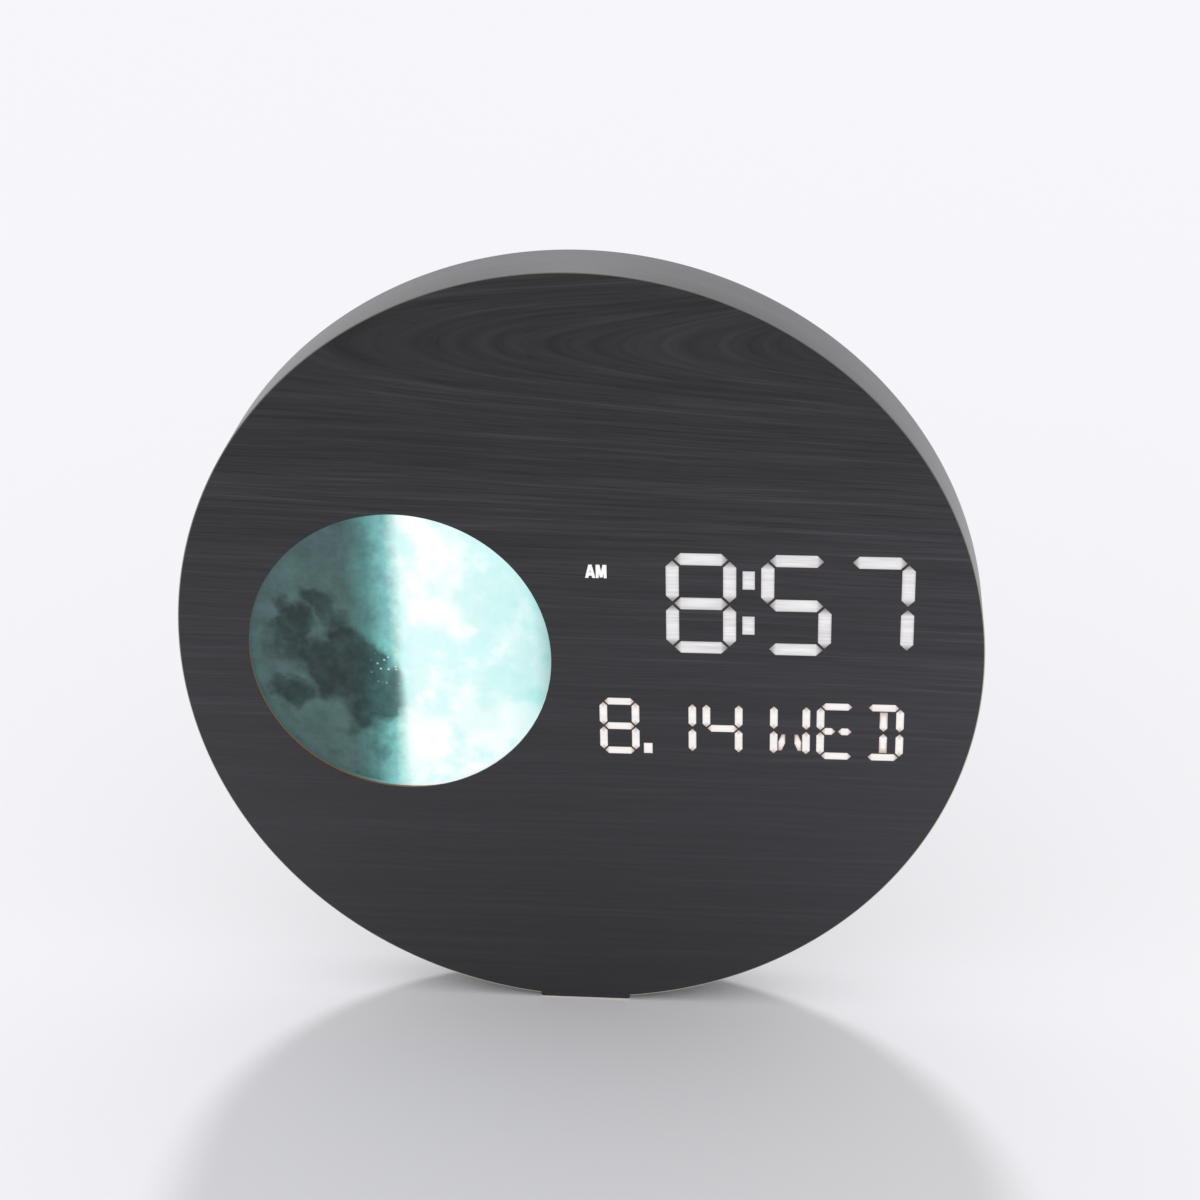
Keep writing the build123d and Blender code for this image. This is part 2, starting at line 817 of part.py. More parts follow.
def cell_cap():
    """Round cap over the cell: a coin slot outside, a spigot and two lugs inside."""
    seat = disc_back - cap_thickness
    lug_front = cover_front - rest_gap - cap_lug_thickness
    bore = cap_spigot_diameter - 2 * cap_spigot_wall
    cap = disc(cell_x, cell_z, cap_diameter, seat, cap_thickness)
    cap += disc(cell_x, cell_z, cap_spigot_diameter, lug_front, seat - lug_front)
    cap += cap_lugs(0, 0, lug_front, cap_lug_thickness)
    cap -= disc(cell_x, cell_z, bore, lug_front - overrun, seat - lug_front + overrun)
    slot_front = disc_back - cap_slot_depth
    return cap - block(cell_x, cell_z, cap_slot_length, cap_slot_width, slot_front, cap_slot_depth + overrun)


# Power inlet


def inlet():
    """Barrel with a flange outside the cover and a bore round its centre pin."""
    barrel = disc(inlet_x, inlet_z, inlet_barrel_diameter, disc_back - inlet_length, inlet_length)
    barrel += disc(inlet_x, inlet_z, inlet_flange_diameter, disc_back, inlet_flange_thickness)
    mouth = disc_back + inlet_flange_thickness
    bore = disc(inlet_x, inlet_z, inlet_bore_diameter, mouth - inlet_bore_depth, inlet_bore_depth + overrun)
    pin_length = inlet_bore_depth - inlet_pin_setback
    return barrel - bore + disc(inlet_x, inlet_z, inlet_pin_diameter, mouth - inlet_bore_depth, pin_length)


def inlet_nut():
    face = Pos(inlet_x, inlet_z) * RegularPolygon(inlet_nut_width / 2, 6, major_radius=False)
    nut = slab(face, cover_front - inlet_nut_thickness, inlet_nut_thickness)
    hole = inlet_barrel_diameter + 2 * thread_gap
    front = cover_front - inlet_nut_thickness
    return nut - disc(inlet_x, inlet_z, hole, front - overrun, inlet_nut_thickness + 2 * overrun)


# Back cover


def cover_screw_places():
    """Screws through the cover's edge, in the middle of the ledge that it rests on."""
    circle = (cavity_radius + rabbet_radius) / 2
    turns = [radians((i + 0.5) * 360 / cover_screw_count) for i in range(cover_screw_count)]
    return [(circle * cos(a), circle * sin(a)) for a in turns]


def back_cover():
    """Round cover let into the back, with openings for what is worked or reached from outside."""
    around = 2 * pocket_gap
    cover = disc(0, 0, 2 * rabbet_radius - around, cover_front, cover_thickness)
    cut_front, cut_depth = cover_front - overrun, cover_thickness + 2 * overrun
    cover -= block(0, hanger_z, hanger_width + around, hanger_height + around, cut_front, cut_depth)
    for x in button_xs():
        cover -= disc(x, button_row_z, button_diameter + 2 * sliding_gap, cut_front, cut_depth)
    cover -= disc(inlet_x, inlet_z, inlet_barrel_diameter + around, cut_front, cut_depth)
    cap_seat = disc_back - cap_thickness
    cover -= disc(cell_x, cell_z, cap_diameter + around, cap_seat, cap_thickness + overrun)
    cover -= disc(cell_x, cell_z, cap_spigot_diameter + around, cut_front, cut_depth)
    cover -= cap_lugs(-cap_turn, pocket_gap, cut_front, cut_depth)
    for x, z in cover_screw_places() + bracket_screw_places():
        cover -= clear_hole(x, z, wood_screw_diameter, cover_front, cover_thickness)
    return cover


# Keyhole plate


def hanger_screw_places():
    return [(side * hanger_screw_spacing / 2, hanger_z) for side in (-1, 1)]


def keyhole_sweep(front, thickness, grow):
    """Round hole and the slot above it, grown all round by grow."""
    low = hanger_z - keyhole_drop
    slot = keyhole_slot_width / 2 + grow
    head = keyhole_diameter / 2 + grow
    if grow:
        slot = head
    face = Pos(0, low) * Circle(head) + Pos(0, low + keyhole_slot_length) * Circle(slot)
    face += Pos(0, low + keyhole_slot_length / 2) * Rectangle(2 * slot, keyhole_slot_length)
    return slab(face, front, thickness)


def hanger_plate():
    face = Pos(0, hanger_z) * RectangleRounded(hanger_width, hanger_height, hanger_corner)
    plate = slab(face, cover_front, hanger_thickness)
    plate -= keyhole_sweep(cover_front - overrun, hanger_thickness + 2 * overrun, 0)
    for x, z in hanger_screw_places():
        plate -= clear_hole(x, z, wood_screw_diameter, cover_front, hanger_thickness)
    return plate


# Rear leg and its hinge


def bracket_screw_places():
    return [(side * bracket_screw_spacing / 2, hinge_z) for side in (-1, 1)]


def across_hinge(x, diameter, length):
    """A round bar along the hinge's line, starting at x."""
    side = Plane(origin=(x, hinge_y, hinge_z), x_dir=(0, 1, 0), z_dir=(1, 0, 0))
    return extrude(side * Circle(diameter / 2), length)


def hinge_bracket():
    """Plate with two ears that hold the pin."""
    face = Pos(0, hinge_z) * RectangleRounded(bracket_width, bracket_height, bracket_corner)
    bracket = slab(face, disc_back, bracket_thickness)
    inner = knuckle_width / 2 + pocket_gap
    for x in (-inner - ear_thickness, inner):
        middle = x + ear_thickness / 2
        root = disc_back + bracket_thickness
        bracket += across_hinge(x, knuckle_diameter, ear_thickness)
        bracket += block(middle, hinge_z, ear_thickness, knuckle_diameter, root, hinge_y - root)
    for x, z in bracket_screw_places():
        bracket -= clear_hole(x, z, wood_screw_diameter, disc_back, bracket_thickness)
    bore = hinge_pin_diameter + 2 * running_gap
    return bracket - across_hinge(-bracket_width / 2, bore, bracket_width)


def hinge_pin():
    """Pin through both ears, with a head at each end."""
    outer = knuckle_width / 2 + pocket_gap + ear_thickness + rest_gap
    pin = across_hinge(-outer, hinge_pin_diameter, 2 * outer)
    for start in (outer, -outer - hinge_pin_head_thickness):
        pin += across_hinge(start, hinge_pin_head_diameter, hinge_pin_head_thickness)
    return pin


def leg_plane(lift=0.0):
    """Plane along the leg: its own y runs from the hinge to the foot, its normal points up."""
    drop = radians(leg_drop_angle)
    origin = (0, hinge_y + lift * sin(drop), hinge_z + lift * cos(drop))
    return Plane(origin=origin, x_dir=(1, 0, 0), z_dir=(0, sin(drop), cos(drop)))


def table_slab():
    """Everything below the table top."""
    normal = (0, -sin(radians(lean_angle)), cos(radians(lean_angle)))
    top = Plane(origin=(0, 0, floor_z(0)), x_dir=(1, 0, 0), z_dir=normal)
    return extrude(top * Rectangle(2 * disc_diameter, 2 * disc_diameter), -disc_radius)


def leg():
    """Tapered paddle with ribs under it, a knuckle, and a heel that stops it on the bracket."""
    root, tip = leg_root_width / 2, leg_tip_width / 2
    blade = Polygon((-root, 0), (root, 0), (tip, leg_length), (-tip, leg_length), align=None)
    far = blade.vertices().sort_by(Axis.Y)[-2:]
    blade = fillet(far, leg_corner)
    paddle = extrude(leg_plane(-leg_thickness / 2) * blade, leg_thickness)
    middle = (leg_rib_count - 1) / 2
    rib_length = leg_rib_end - leg_rib_start
    for i in range(leg_rib_count):
        place = Pos((i - middle) * leg_rib_spacing, leg_rib_start + rib_length / 2)
        rib = leg_plane(leg_thickness / 2) * place * Rectangle(leg_rib_width, rib_length)
        paddle += extrude(rib, leg_rib_height)
    paddle += across_hinge(-knuckle_width / 2, knuckle_diameter, knuckle_width)
    heel_front = disc_back + bracket_thickness + rest_gap
    paddle += block(0, hinge_z - heel_drop / 2, knuckle_width, heel_drop, heel_front, heel_thickness)
    return paddle - across_hinge(-knuckle_width, hinge_pin_diameter + 2 * running_gap, 2 * knuckle_width)


def leg_pad():
    """Rubber strip under the leg's end, flat on the table."""
    middle = leg_length - leg_pad_setback - leg_pad_length / 2
    strip = Pos(0, middle) * Rectangle(leg_pad_width, leg_pad_length)
    return extrude(leg_plane(-leg_thickness / 2) * strip, -leg_foot_rise * 2) - table_slab()


def base_pad():
    """Rubber pad that follows the rim above and lies flat on the table below."""
    depth = disc_back - 2 * base_pad_inset
    outline = Pos(0, disc_back / 2) * RectangleRounded(base_pad_width, depth, base_pad_corner)
    pad = extrude(Plane.XY.offset(-disc_radius) * outline, base_pad_width / 2, both=True)
    return pad - disc(0, 0, disc_diameter, -overrun, disc_back + 2 * overrun) - table_slab()


# Screws


def cover_screws():
    return group(wood_screw(x, z, disc_back, cover_screw_length) for x, z in cover_screw_places())


def frame_screws():
    """Screws of the light box and the cell holder."""
    lamp = [wood_screw(x, z, web_back + light_box_flange_thickness) for x, z in light_box_screw_places()]
    holder = [wood_screw(x, z, web_back + holder_ear_thickness) for x, z in holder_screw_places()]
    return group(lamp + holder)


def board_screws():
    """Screws of the display, control and moon boards."""
    seats = [(place, web_back + display_board_thickness) for place in display_screw_places()]
    seats += [(place, control_back) for place in standoff_places()]
    seats += [(place, light_box_back + moon_board_thickness) for place in moon_board_screw_places()]
    return group(board_screw(x, z, seat) for (x, z), seat in seats)


def hanger_screws():
    seat = cover_front + hanger_thickness
    return group(wood_screw(x, z, seat) for x, z in hanger_screw_places())


def bracket_screws():
    seat = disc_back + bracket_thickness
    return group(wood_screw(x, z, seat) for x, z in bracket_screw_places())


def parts():
    """Every node's name and shape, in the disc's frame."""
    yield "face_film", face_film()
    yield "edge_film", edge_film()
    yield "face_board", face_board()
    yield "body", body()
    yield "moon_disc", moon_disc()
    yield "moon_diffuser", moon_diffuser()
    yield "moon_light_box", light_box()
    yield "moon_led_board", moon_led_board()
    yield "moon_leds", moon_leds()
    yield "diffuser_sheets", diffuser_sheets()
    yield "time_reflector", reflector(time_row, row_fields[0])
    yield "date_reflector", reflector(date_row, row_fields[1])
    yield "time_leds", display_leds(time_row, time_led_width, time_led_length)
    yield "date_leds", display_leds(date_row, date_led_width, date_led_length)
    yield "display_board", display_board()
    yield "standoffs", standoffs()
    yield "control_board", control_board()
    yield "control_chips", chips()
    yield "buzzer", buzzer()
    yield "switch_bodies", switch_bodies()
    for number, x in enumerate(button_xs(), 1):
        yield f"button_{number}", button(x)
        yield f"switch_plunger_{number}", plunger(x)
    yield "cell_holder", cell_holder()
    yield "cell_contact", cell_contact()
    yield "backup_cell", backup_cell()
    yield "cell_cap", cell_cap()
    yield "power_inlet", inlet()
    yield "inlet_nut", inlet_nut()
    yield "back_cover", back_cover()
    yield "hanger_plate", hanger_plate()
    yield "hinge_bracket", hinge_bracket()
    yield "hinge_pin", hinge_pin()
    yield "support_leg", leg()
    yield "leg_pad", leg_pad()
    yield "base_pad", base_pad()
    yield "cover_screws", cover_screws()
    yield "frame_screws", frame_screws()
    yield "board_screws", board_screws()
    yield "hanger_screws", hanger_screws()
    yield "bracket_screws", bracket_screws()


os.makedirs("parts", exist_ok=True)
for name, shape in parts():
    export_step(on_table(shape), f"parts/{name}.step")
print("hinge depth", hinge_y, "leg drop angle", leg_drop_angle, "fold angle", leg_fold_angle)
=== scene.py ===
import json
from math import cos, hypot, pi, radians, sin

import bmesh
import bpy
from mathutils import Euler, Matrix, Vector
from mathutils.geometry import delaunay_2d_cdt


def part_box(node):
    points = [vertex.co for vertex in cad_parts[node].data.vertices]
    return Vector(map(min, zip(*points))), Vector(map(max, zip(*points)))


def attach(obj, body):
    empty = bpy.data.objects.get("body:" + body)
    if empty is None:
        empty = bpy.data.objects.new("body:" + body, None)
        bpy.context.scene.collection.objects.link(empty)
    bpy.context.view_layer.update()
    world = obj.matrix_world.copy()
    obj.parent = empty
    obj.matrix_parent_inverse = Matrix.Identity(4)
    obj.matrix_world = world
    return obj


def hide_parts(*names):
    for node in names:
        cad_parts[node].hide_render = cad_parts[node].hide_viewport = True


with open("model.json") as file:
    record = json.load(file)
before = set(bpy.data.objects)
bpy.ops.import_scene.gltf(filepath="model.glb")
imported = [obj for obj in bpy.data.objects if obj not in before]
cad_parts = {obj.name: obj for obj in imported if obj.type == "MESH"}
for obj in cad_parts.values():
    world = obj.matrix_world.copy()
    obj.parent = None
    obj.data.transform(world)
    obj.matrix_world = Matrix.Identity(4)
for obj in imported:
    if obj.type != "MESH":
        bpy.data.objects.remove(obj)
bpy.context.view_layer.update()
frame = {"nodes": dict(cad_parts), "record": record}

# Sizes in millimetres, in the disc's own frame: X to the viewer's right, Y from the face towards
# the back, Z up the face, zero at the middle of the face.
MM = 0.001

# Face, rim and moon window
window_radius = 47.5
edge_round = 0.3
window_edge_round = 0.06
fine_segments = 384
window_segments = 256

# Time row
time_width = 21.35
time_height = 33.67
time_stroke = 3.95
time_gap = 0.58
time_z = 3.05
hours_x = 27.96
minutes_x = 56.86
time_pitch = 24.89
colon_x = 51.24
colon_width = 3.69
colon_height = 6.1
colon_rises = [6.75, 21.95]
am_x = 3.4
am_z = 27.8
am_height = 4.45
letter_a_width = 3.15
letter_m_width = 3.3
letter_gap = 0.12

# Date row
date_width = 12.38
date_height = 19.67
date_stroke = 2.36
date_gap = 0.38
date_z = -32.93
date_pitch = 14.4
month_x = 6.88
dot_x = 20.58
dot_width = 2.7
dot_height = 3.6
dot_rise = 0.4
day_x = 24.6
weekday_x = 59.91
inner_gap = 0.36
diagonal_gap = 0.3
diagonal_flat_share = 0.5
diagonal_side_share = 0.55

# Lit bars: the light is weakest at a bar's tips, and full over its core
time_margin = 0.45
date_margin = 0.3
core_share = 0.45
edge_lights = (0.62, 0.0)
margin_lights = (0.9, 0.15)
core_lights = (1.0, 1.0)
tip_reach = 1.12

# Screws on the back
pan_head_dome = 0.55
pan_head_segments = 40
cross_arm_length_share = 0.62
cross_arm_width_share = 0.17
cross_depth = 0.9
cross_taper = 0.62
cross_turns = (25, 37)
shank_radius = 1.3
shank_point = 1.2
shank_clearance = 0.02
shank_segments = 16
screw_reach = 10.0

# Buttons
button_cap_radius = 3.4
button_stem_radius = 1.5
button_flange_thickness = 0.8
button_edge_round = 0.45
button_dish_depth = 0.28
button_rim = 0.72
button_clearance = 0.1
button_segments = 64

# Camera, as it stood for the photograph: its place and aim in the disc's frame
camera_place = (81.1, -704.7, 363.4)
camera_aim = (7.8, 0.0, 20.4)
camera_roll = radians(-1.48)
camera_lens = 77.43
camera_sensor = 36.0

# Light
key_height_angle = radians(45)
key_side_angle = radians(5.5)
key_spread = radians(8)
key_floor_share = 0.235
world_strength = 0.80
floor_size = 12.0


def from_srgb(red, green, blue):
    """A colour given as 0 to 255 display values, as linear light."""
    def channel(value):
        value /= 255
        return value / 12.92 if value <= 0.04045 else ((value + 0.055) / 1.055) ** 2.4
    return (channel(red), channel(green), channel(blue), 1.0)


# The disc's frame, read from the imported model

mounts = {mount["name"]: mount for mount in frame["record"]["mounts"]}
back = Vector(mounts["keyhole"]["axis"]).normalized()
up = Vector((0, -back.z, back.y))
film_low, film_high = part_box("face_film")
film_size = film_high - film_low
lean_scale = back.y**2 - back.z**2
film_depth = (film_size.y * back.y + film_size.z * back.z) / lean_scale
disc_diameter = (film_size.z * back.y + film_size.y * back.z) / lean_scale
face_middle = (film_low + film_high) / 2 - back * film_depth / 2
columns = (Vector((1, 0, 0)), back, up, face_middle)
rows = [[column[row] for column in columns] for row in range(3)]
FROM_DISC = Matrix(rows + [[0, 0, 0, 1]]) @ Matrix.Scale(MM, 4)
TO_DISC = FROM_DISC.inverted()
disc_radius = disc_diameter / 2 / MM
film_back = film_depth / MM


def corners_of(node):
    """Every corner of a CAD node in the disc's frame."""
    return [TO_DISC @ vertex.co for vertex in frame["nodes"][node].data.vertices]


def box_of(corners):
    """Lowest and highest corner of the box round some points."""
    low = Vector(min(corner[axis] for corner in corners) for axis in range(3))
    high = Vector(max(corner[axis] for corner in corners) for axis in range(3))
    return low, high


def disc_box(node):
    return box_of(corners_of(node))


def middle_of_box(low, high):
    """A box's middle, across and up the face."""
    return (low.x + high.x) / 2, (low.z + high.z) / 2


disc_back = disc_box("edge_film")[1].y
moon_x, moon_z = middle_of_box(*disc_box("moon_disc"))
pad_reach = disc_box("base_pad")[1].x


# Outlines of the display's bars


def bar(x, z, length, stroke, upright):
    """Six-sided bar with pointed ends, centred at x and z."""
    half, tip = stroke / 2, length / 2 - stroke / 2
    flat = [(-length / 2, 0), (-tip, -half), (tip, -half), (length / 2, 0), (tip, half), (-tip, half)]
    if upright:
        return [(x - across, z + along) for along, across in flat]
    return [(x + along, z + across) for along, across in flat]


def box_outline(x, z, width, height):
    return [(x, z), (x + width, z), (x + width, z + height), (x, z + height)]


def seven_bars(x, z, width, height, stroke, gap, names):
    """Bars of one digit, whose lower left corner is at x and z."""
    left, right, middle = x + stroke / 2, x + width - stroke / 2, x + width / 2
    low, high, half = z + stroke / 2, z + height - stroke / 2, z + height / 2
    across, along = right - left - 2 * gap, half - low - 2 * gap
    places = {
        "a": (middle, high, across, False),
        "b": (right, (half + high) / 2, along, True),
        "c": (right, (low + half) / 2, along, True),
        "d": (middle, low, across, False),
        "e": (left, (low + half) / 2, along, True),
        "f": (left, (half + high) / 2, along, True),
        "g": (middle, half, across, False),
    }
    return [bar(px, pz, length, stroke, upright) for px, pz, length, upright in map(places.get, names)]


def split_middle(x, z, width, height, stroke, gap):
    """The two halves of a letter's middle bar."""
    left, right, middle = x + stroke / 2, x + width - stroke / 2, x + width / 2
    arm = middle - left - 2 * gap
    return [bar((left + middle) / 2, z + height / 2, arm, stroke, False),
            bar((middle + right) / 2, z + height / 2, arm, stroke, False)]


def inner_uprights(x, z, width, height, stroke, gap):
    """The two centre bars of a letter, flat at their outer ends."""
    middle, centre, half = x + width / 2, z + height / 2, stroke / 2
    bars = []
    for side in (-1, 1):
        outer = centre + side * (height / 2 - stroke - inner_gap)
        point = centre + side * gap
        left, right, shoulder = middle - half, middle + half, point + side * half
        bars.append([(left, outer), (right, outer), (right, shoulder), (middle, point), (left, shoulder)])
    return bars


def lower_diagonals(x, z, width, height, stroke):
    """The two slanted bars in the lower half of a letter."""
    left, right, middle, centre = x + stroke / 2, x + width - stroke / 2, x + width / 2, z + height / 2
    near = centre - stroke / 2 - diagonal_gap
    far = centre - height / 2 + stroke + diagonal_gap
    bars = []
    for column, inward in ((left, 1), (right, -1)):
        start_x = column + inward * (stroke / 2 + diagonal_gap)
        end_x = middle - inward * (stroke / 2 + diagonal_gap)
        flat = (end_x - start_x) * diagonal_flat_share
        side = (near - far) * diagonal_side_share
        bars.append([(start_x, far + side), (start_x, far), (start_x + flat, far),
                     (end_x, near - side), (end_x, near), (end_x - flat, near)])
    return bars


def lit_time_bars():
    """Eight, colon, five, seven."""
    digit = (time_z, time_width, time_height, time_stroke, time_gap)
    bars = seven_bars(hours_x, *digit, "abcdefg")
    bars += seven_bars(minutes_x, *digit, "acdfg")
    bars += seven_bars(minutes_x + time_pitch, *digit, "abc")
    return bars + [box_outline(colon_x, time_z + rise, colon_width, colon_height) for rise in colon_rises]


def lit_date_bars():
    """Eight, dot, fourteen, and the weekday in three letters."""
    digit = (date_z, date_width, date_height, date_stroke, date_gap)
    letters = [weekday_x + place * date_pitch for place in range(3)]
    bars = seven_bars(month_x, *digit, "abcdefg")
    bars += seven_bars(day_x, *digit, "bc")
    bars += seven_bars(day_x + date_pitch, *digit, "bcfg")
    bars += seven_bars(letters[0], *digit, "bcef") + lower_diagonals(letters[0], *digit[:-1])
    bars += seven_bars(letters[1], *digit, "adef") + split_middle(letters[1], *digit)
    bars += seven_bars(letters[2], *digit, "abcd") + inner_uprights(letters[2], *digit)
    return bars + [box_outline(dot_x, date_z + dot_rise, dot_width, dot_height)]


# Strokes of the small A and M, as shares of each letter's box
letter_a_shares = [
    [(0.0, 0.0), (0.31, 0.0), (0.62, 1.0), (0.34, 1.0)],
    [(0.69, 0.0), (1.0, 0.0), (0.66, 1.0), (0.38, 1.0)],
    [(0.2, 0.17), (0.8, 0.17), (0.72, 0.42), (0.28, 0.42)],
]
letter_m_shares = [
    [(0.0, 0.0), (0.27, 0.0), (0.27, 1.0), (0.0, 1.0)],
    [(0.73, 0.0), (1.0, 0.0), (1.0, 1.0), (0.73, 1.0)],
    [(0.38, 0.05), (0.62, 0.05), (0.36, 1.0), (0.06, 1.0)],
    [(0.38, 0.05), (0.62, 0.05), (0.94, 1.0), (0.64, 1.0)],
]


def am_strokes():
    """The strokes of the two letters, which overlap where they meet."""
    strokes = []
    start = am_x
    for shares, width in ((letter_a_shares, letter_a_width), (letter_m_shares, letter_m_width)):
        for stroke in shares:
            strokes.append([(start + px * width, am_z + pz * am_height) for px, pz in stroke])
        start += width + letter_gap
    return strokes


# Mesh tools


def turned(profile, segments, x=0.0, z=0.0, closed=False):
    """Points (radius, depth) spun about the line through x and z that is square to the face."""
    bm = bmesh.new()
    turns = [2 * pi * i / segments for i in range(segments)]
    rings = []
    for radius, depth in profile:
        if radius == 0:
            rings.append([bm.verts.new((x, depth, z))])
        else:
            rings.append([bm.verts.new((x + radius * cos(t), depth, z + radius * sin(t))) for t in turns])
    pairs = list(zip(rings, rings[1:]))
    if closed:
        pairs.append((rings[-1], rings[0]))
    for near, far in pairs:
        for i in range(segments):
            j = (i + 1) % segments
            corners = [near[i % len(near)], near[j % len(near)], far[j % len(far)], far[i % len(far)]]
            bm.faces.new(list(dict.fromkeys(corners)))
    bmesh.ops.recalc_face_normals(bm, faces=bm.faces)
    return bm


def arc(radius, depth, round_radius, start, end, steps):
    """Points of a rounded edge about a centre, in a profile of radius and depth."""
    turns = [radians(start + (end - start) * i / steps) for i in range(steps + 1)]
    return [(radius + round_radius * cos(t), depth + round_radius * sin(t)) for t in turns]


def circle_points(radius, segments, x=0.0, z=0.0):
    turns = [2 * pi * i / segments for i in range(segments)]
    return [(x + radius * cos(t), z + radius * sin(t)) for t in turns]


def counter_clockwise(points):
    following = points[1:] + points[:1]
    turning = sum(px * qz - qx * pz for (px, pz), (qx, qz) in zip(points, following))
    return points if turning > 0 else points[::-1]


def inset(points, amount):
    """A convex outline drawn in by an amount on every side."""
    points = [Vector(p) for p in counter_clockwise(points)]
    count = len(points)
    lines = []
    for i in range(count):
        along = (points[(i + 1) % count] - points[i]).normalized()
        lines.append((points[i] + Vector((-along.y, along.x)) * amount, along))
    corners = []
    for i in range(count):
        (start, along), (other, other_along) = lines[i - 1], lines[i]
        cross = along.x * other_along.y - along.y * other_along.x
        gap = other - start
        corners.append(start + along * ((gap.x * other_along.y - gap.y * other_along.x) / cross))
    return [tuple(corner) for corner in corners]


def mean_of(points):
    return sum(x for x, _ in points) / len(points), sum(z for _, z in points) / len(points)


def shrunk(points, share):
    """An outline scaled about the mean of its corners."""
    middle_x, middle_z = mean_of(points)
    return [(middle_x + (x - middle_x) * share, middle_z + (z - middle_z) * share) for x, z in points]


def tips_of(points):
    """For each corner of a bar, whether it is one of the far ends."""
    middle_x, middle_z = mean_of(points)
    far = [hypot(x - middle_x, z - middle_z) for x, z in points]
    return [reach > tip_reach * min(far) for reach in far]


def inside(point, outline):
    """True if a point lies within a closed outline."""
    hit = False
    for (px, pz), (qx, qz) in zip(outline, outline[1:] + outline[:1]):
        if (pz > point[1]) != (qz > point[1]) and point[0] < px + (point[1] - pz) / (qz - pz) * (qx - px):
            hit = not hit
    return hit


def triangulate(loops):
    """Triangles over closed loops: the points, the triangles and where each loop's points went."""
    points, edges, starts = [], [], []
    for loop in loops:
        starts.append(len(points))
        points += [Vector(p) for p in loop]
        edges += [(starts[-1] + i, starts[-1] + (i + 1) % len(loop)) for i in range(len(loop))]
    made, _, triangles, sources, _, _ = delaunay_2d_cdt(points, edges, [], 0, 1e-6)
    place = {source: index for index, group in enumerate(sources) for source in group}
    moved = [[place[start + i] for i in range(len(loop))] for start, loop in zip(starts, loops)]
    return made, triangles, moved


def mesh_from(name, bm):
    """A bmesh turned into a mesh, and freed."""
    mesh = bpy.data.meshes.new(name)
    bm.to_mesh(mesh)
    bm.free()
    return mesh


def add_object(name, data):
    """A new object, put into the scene."""
    made = bpy.data.objects.new(name, data)
    bpy.context.scene.collection.objects.link(made)
    return made


def make_piece(name, bm, slots, body="clock", smooth_below=40):
    """A mesh drawn in the disc's frame becomes a piece that rides on a body."""
    bmesh.ops.transform(bm, matrix=FROM_DISC, verts=bm.verts)
    mesh = mesh_from(name, bm)
    piece = add_object(name, mesh)
    for material in slots:
        mesh.materials.append(material)
    mesh.shade_smooth()
    mesh.set_sharp_from_angle(angle=radians(smooth_below))
    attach(piece, body)
    return piece


# Material tools


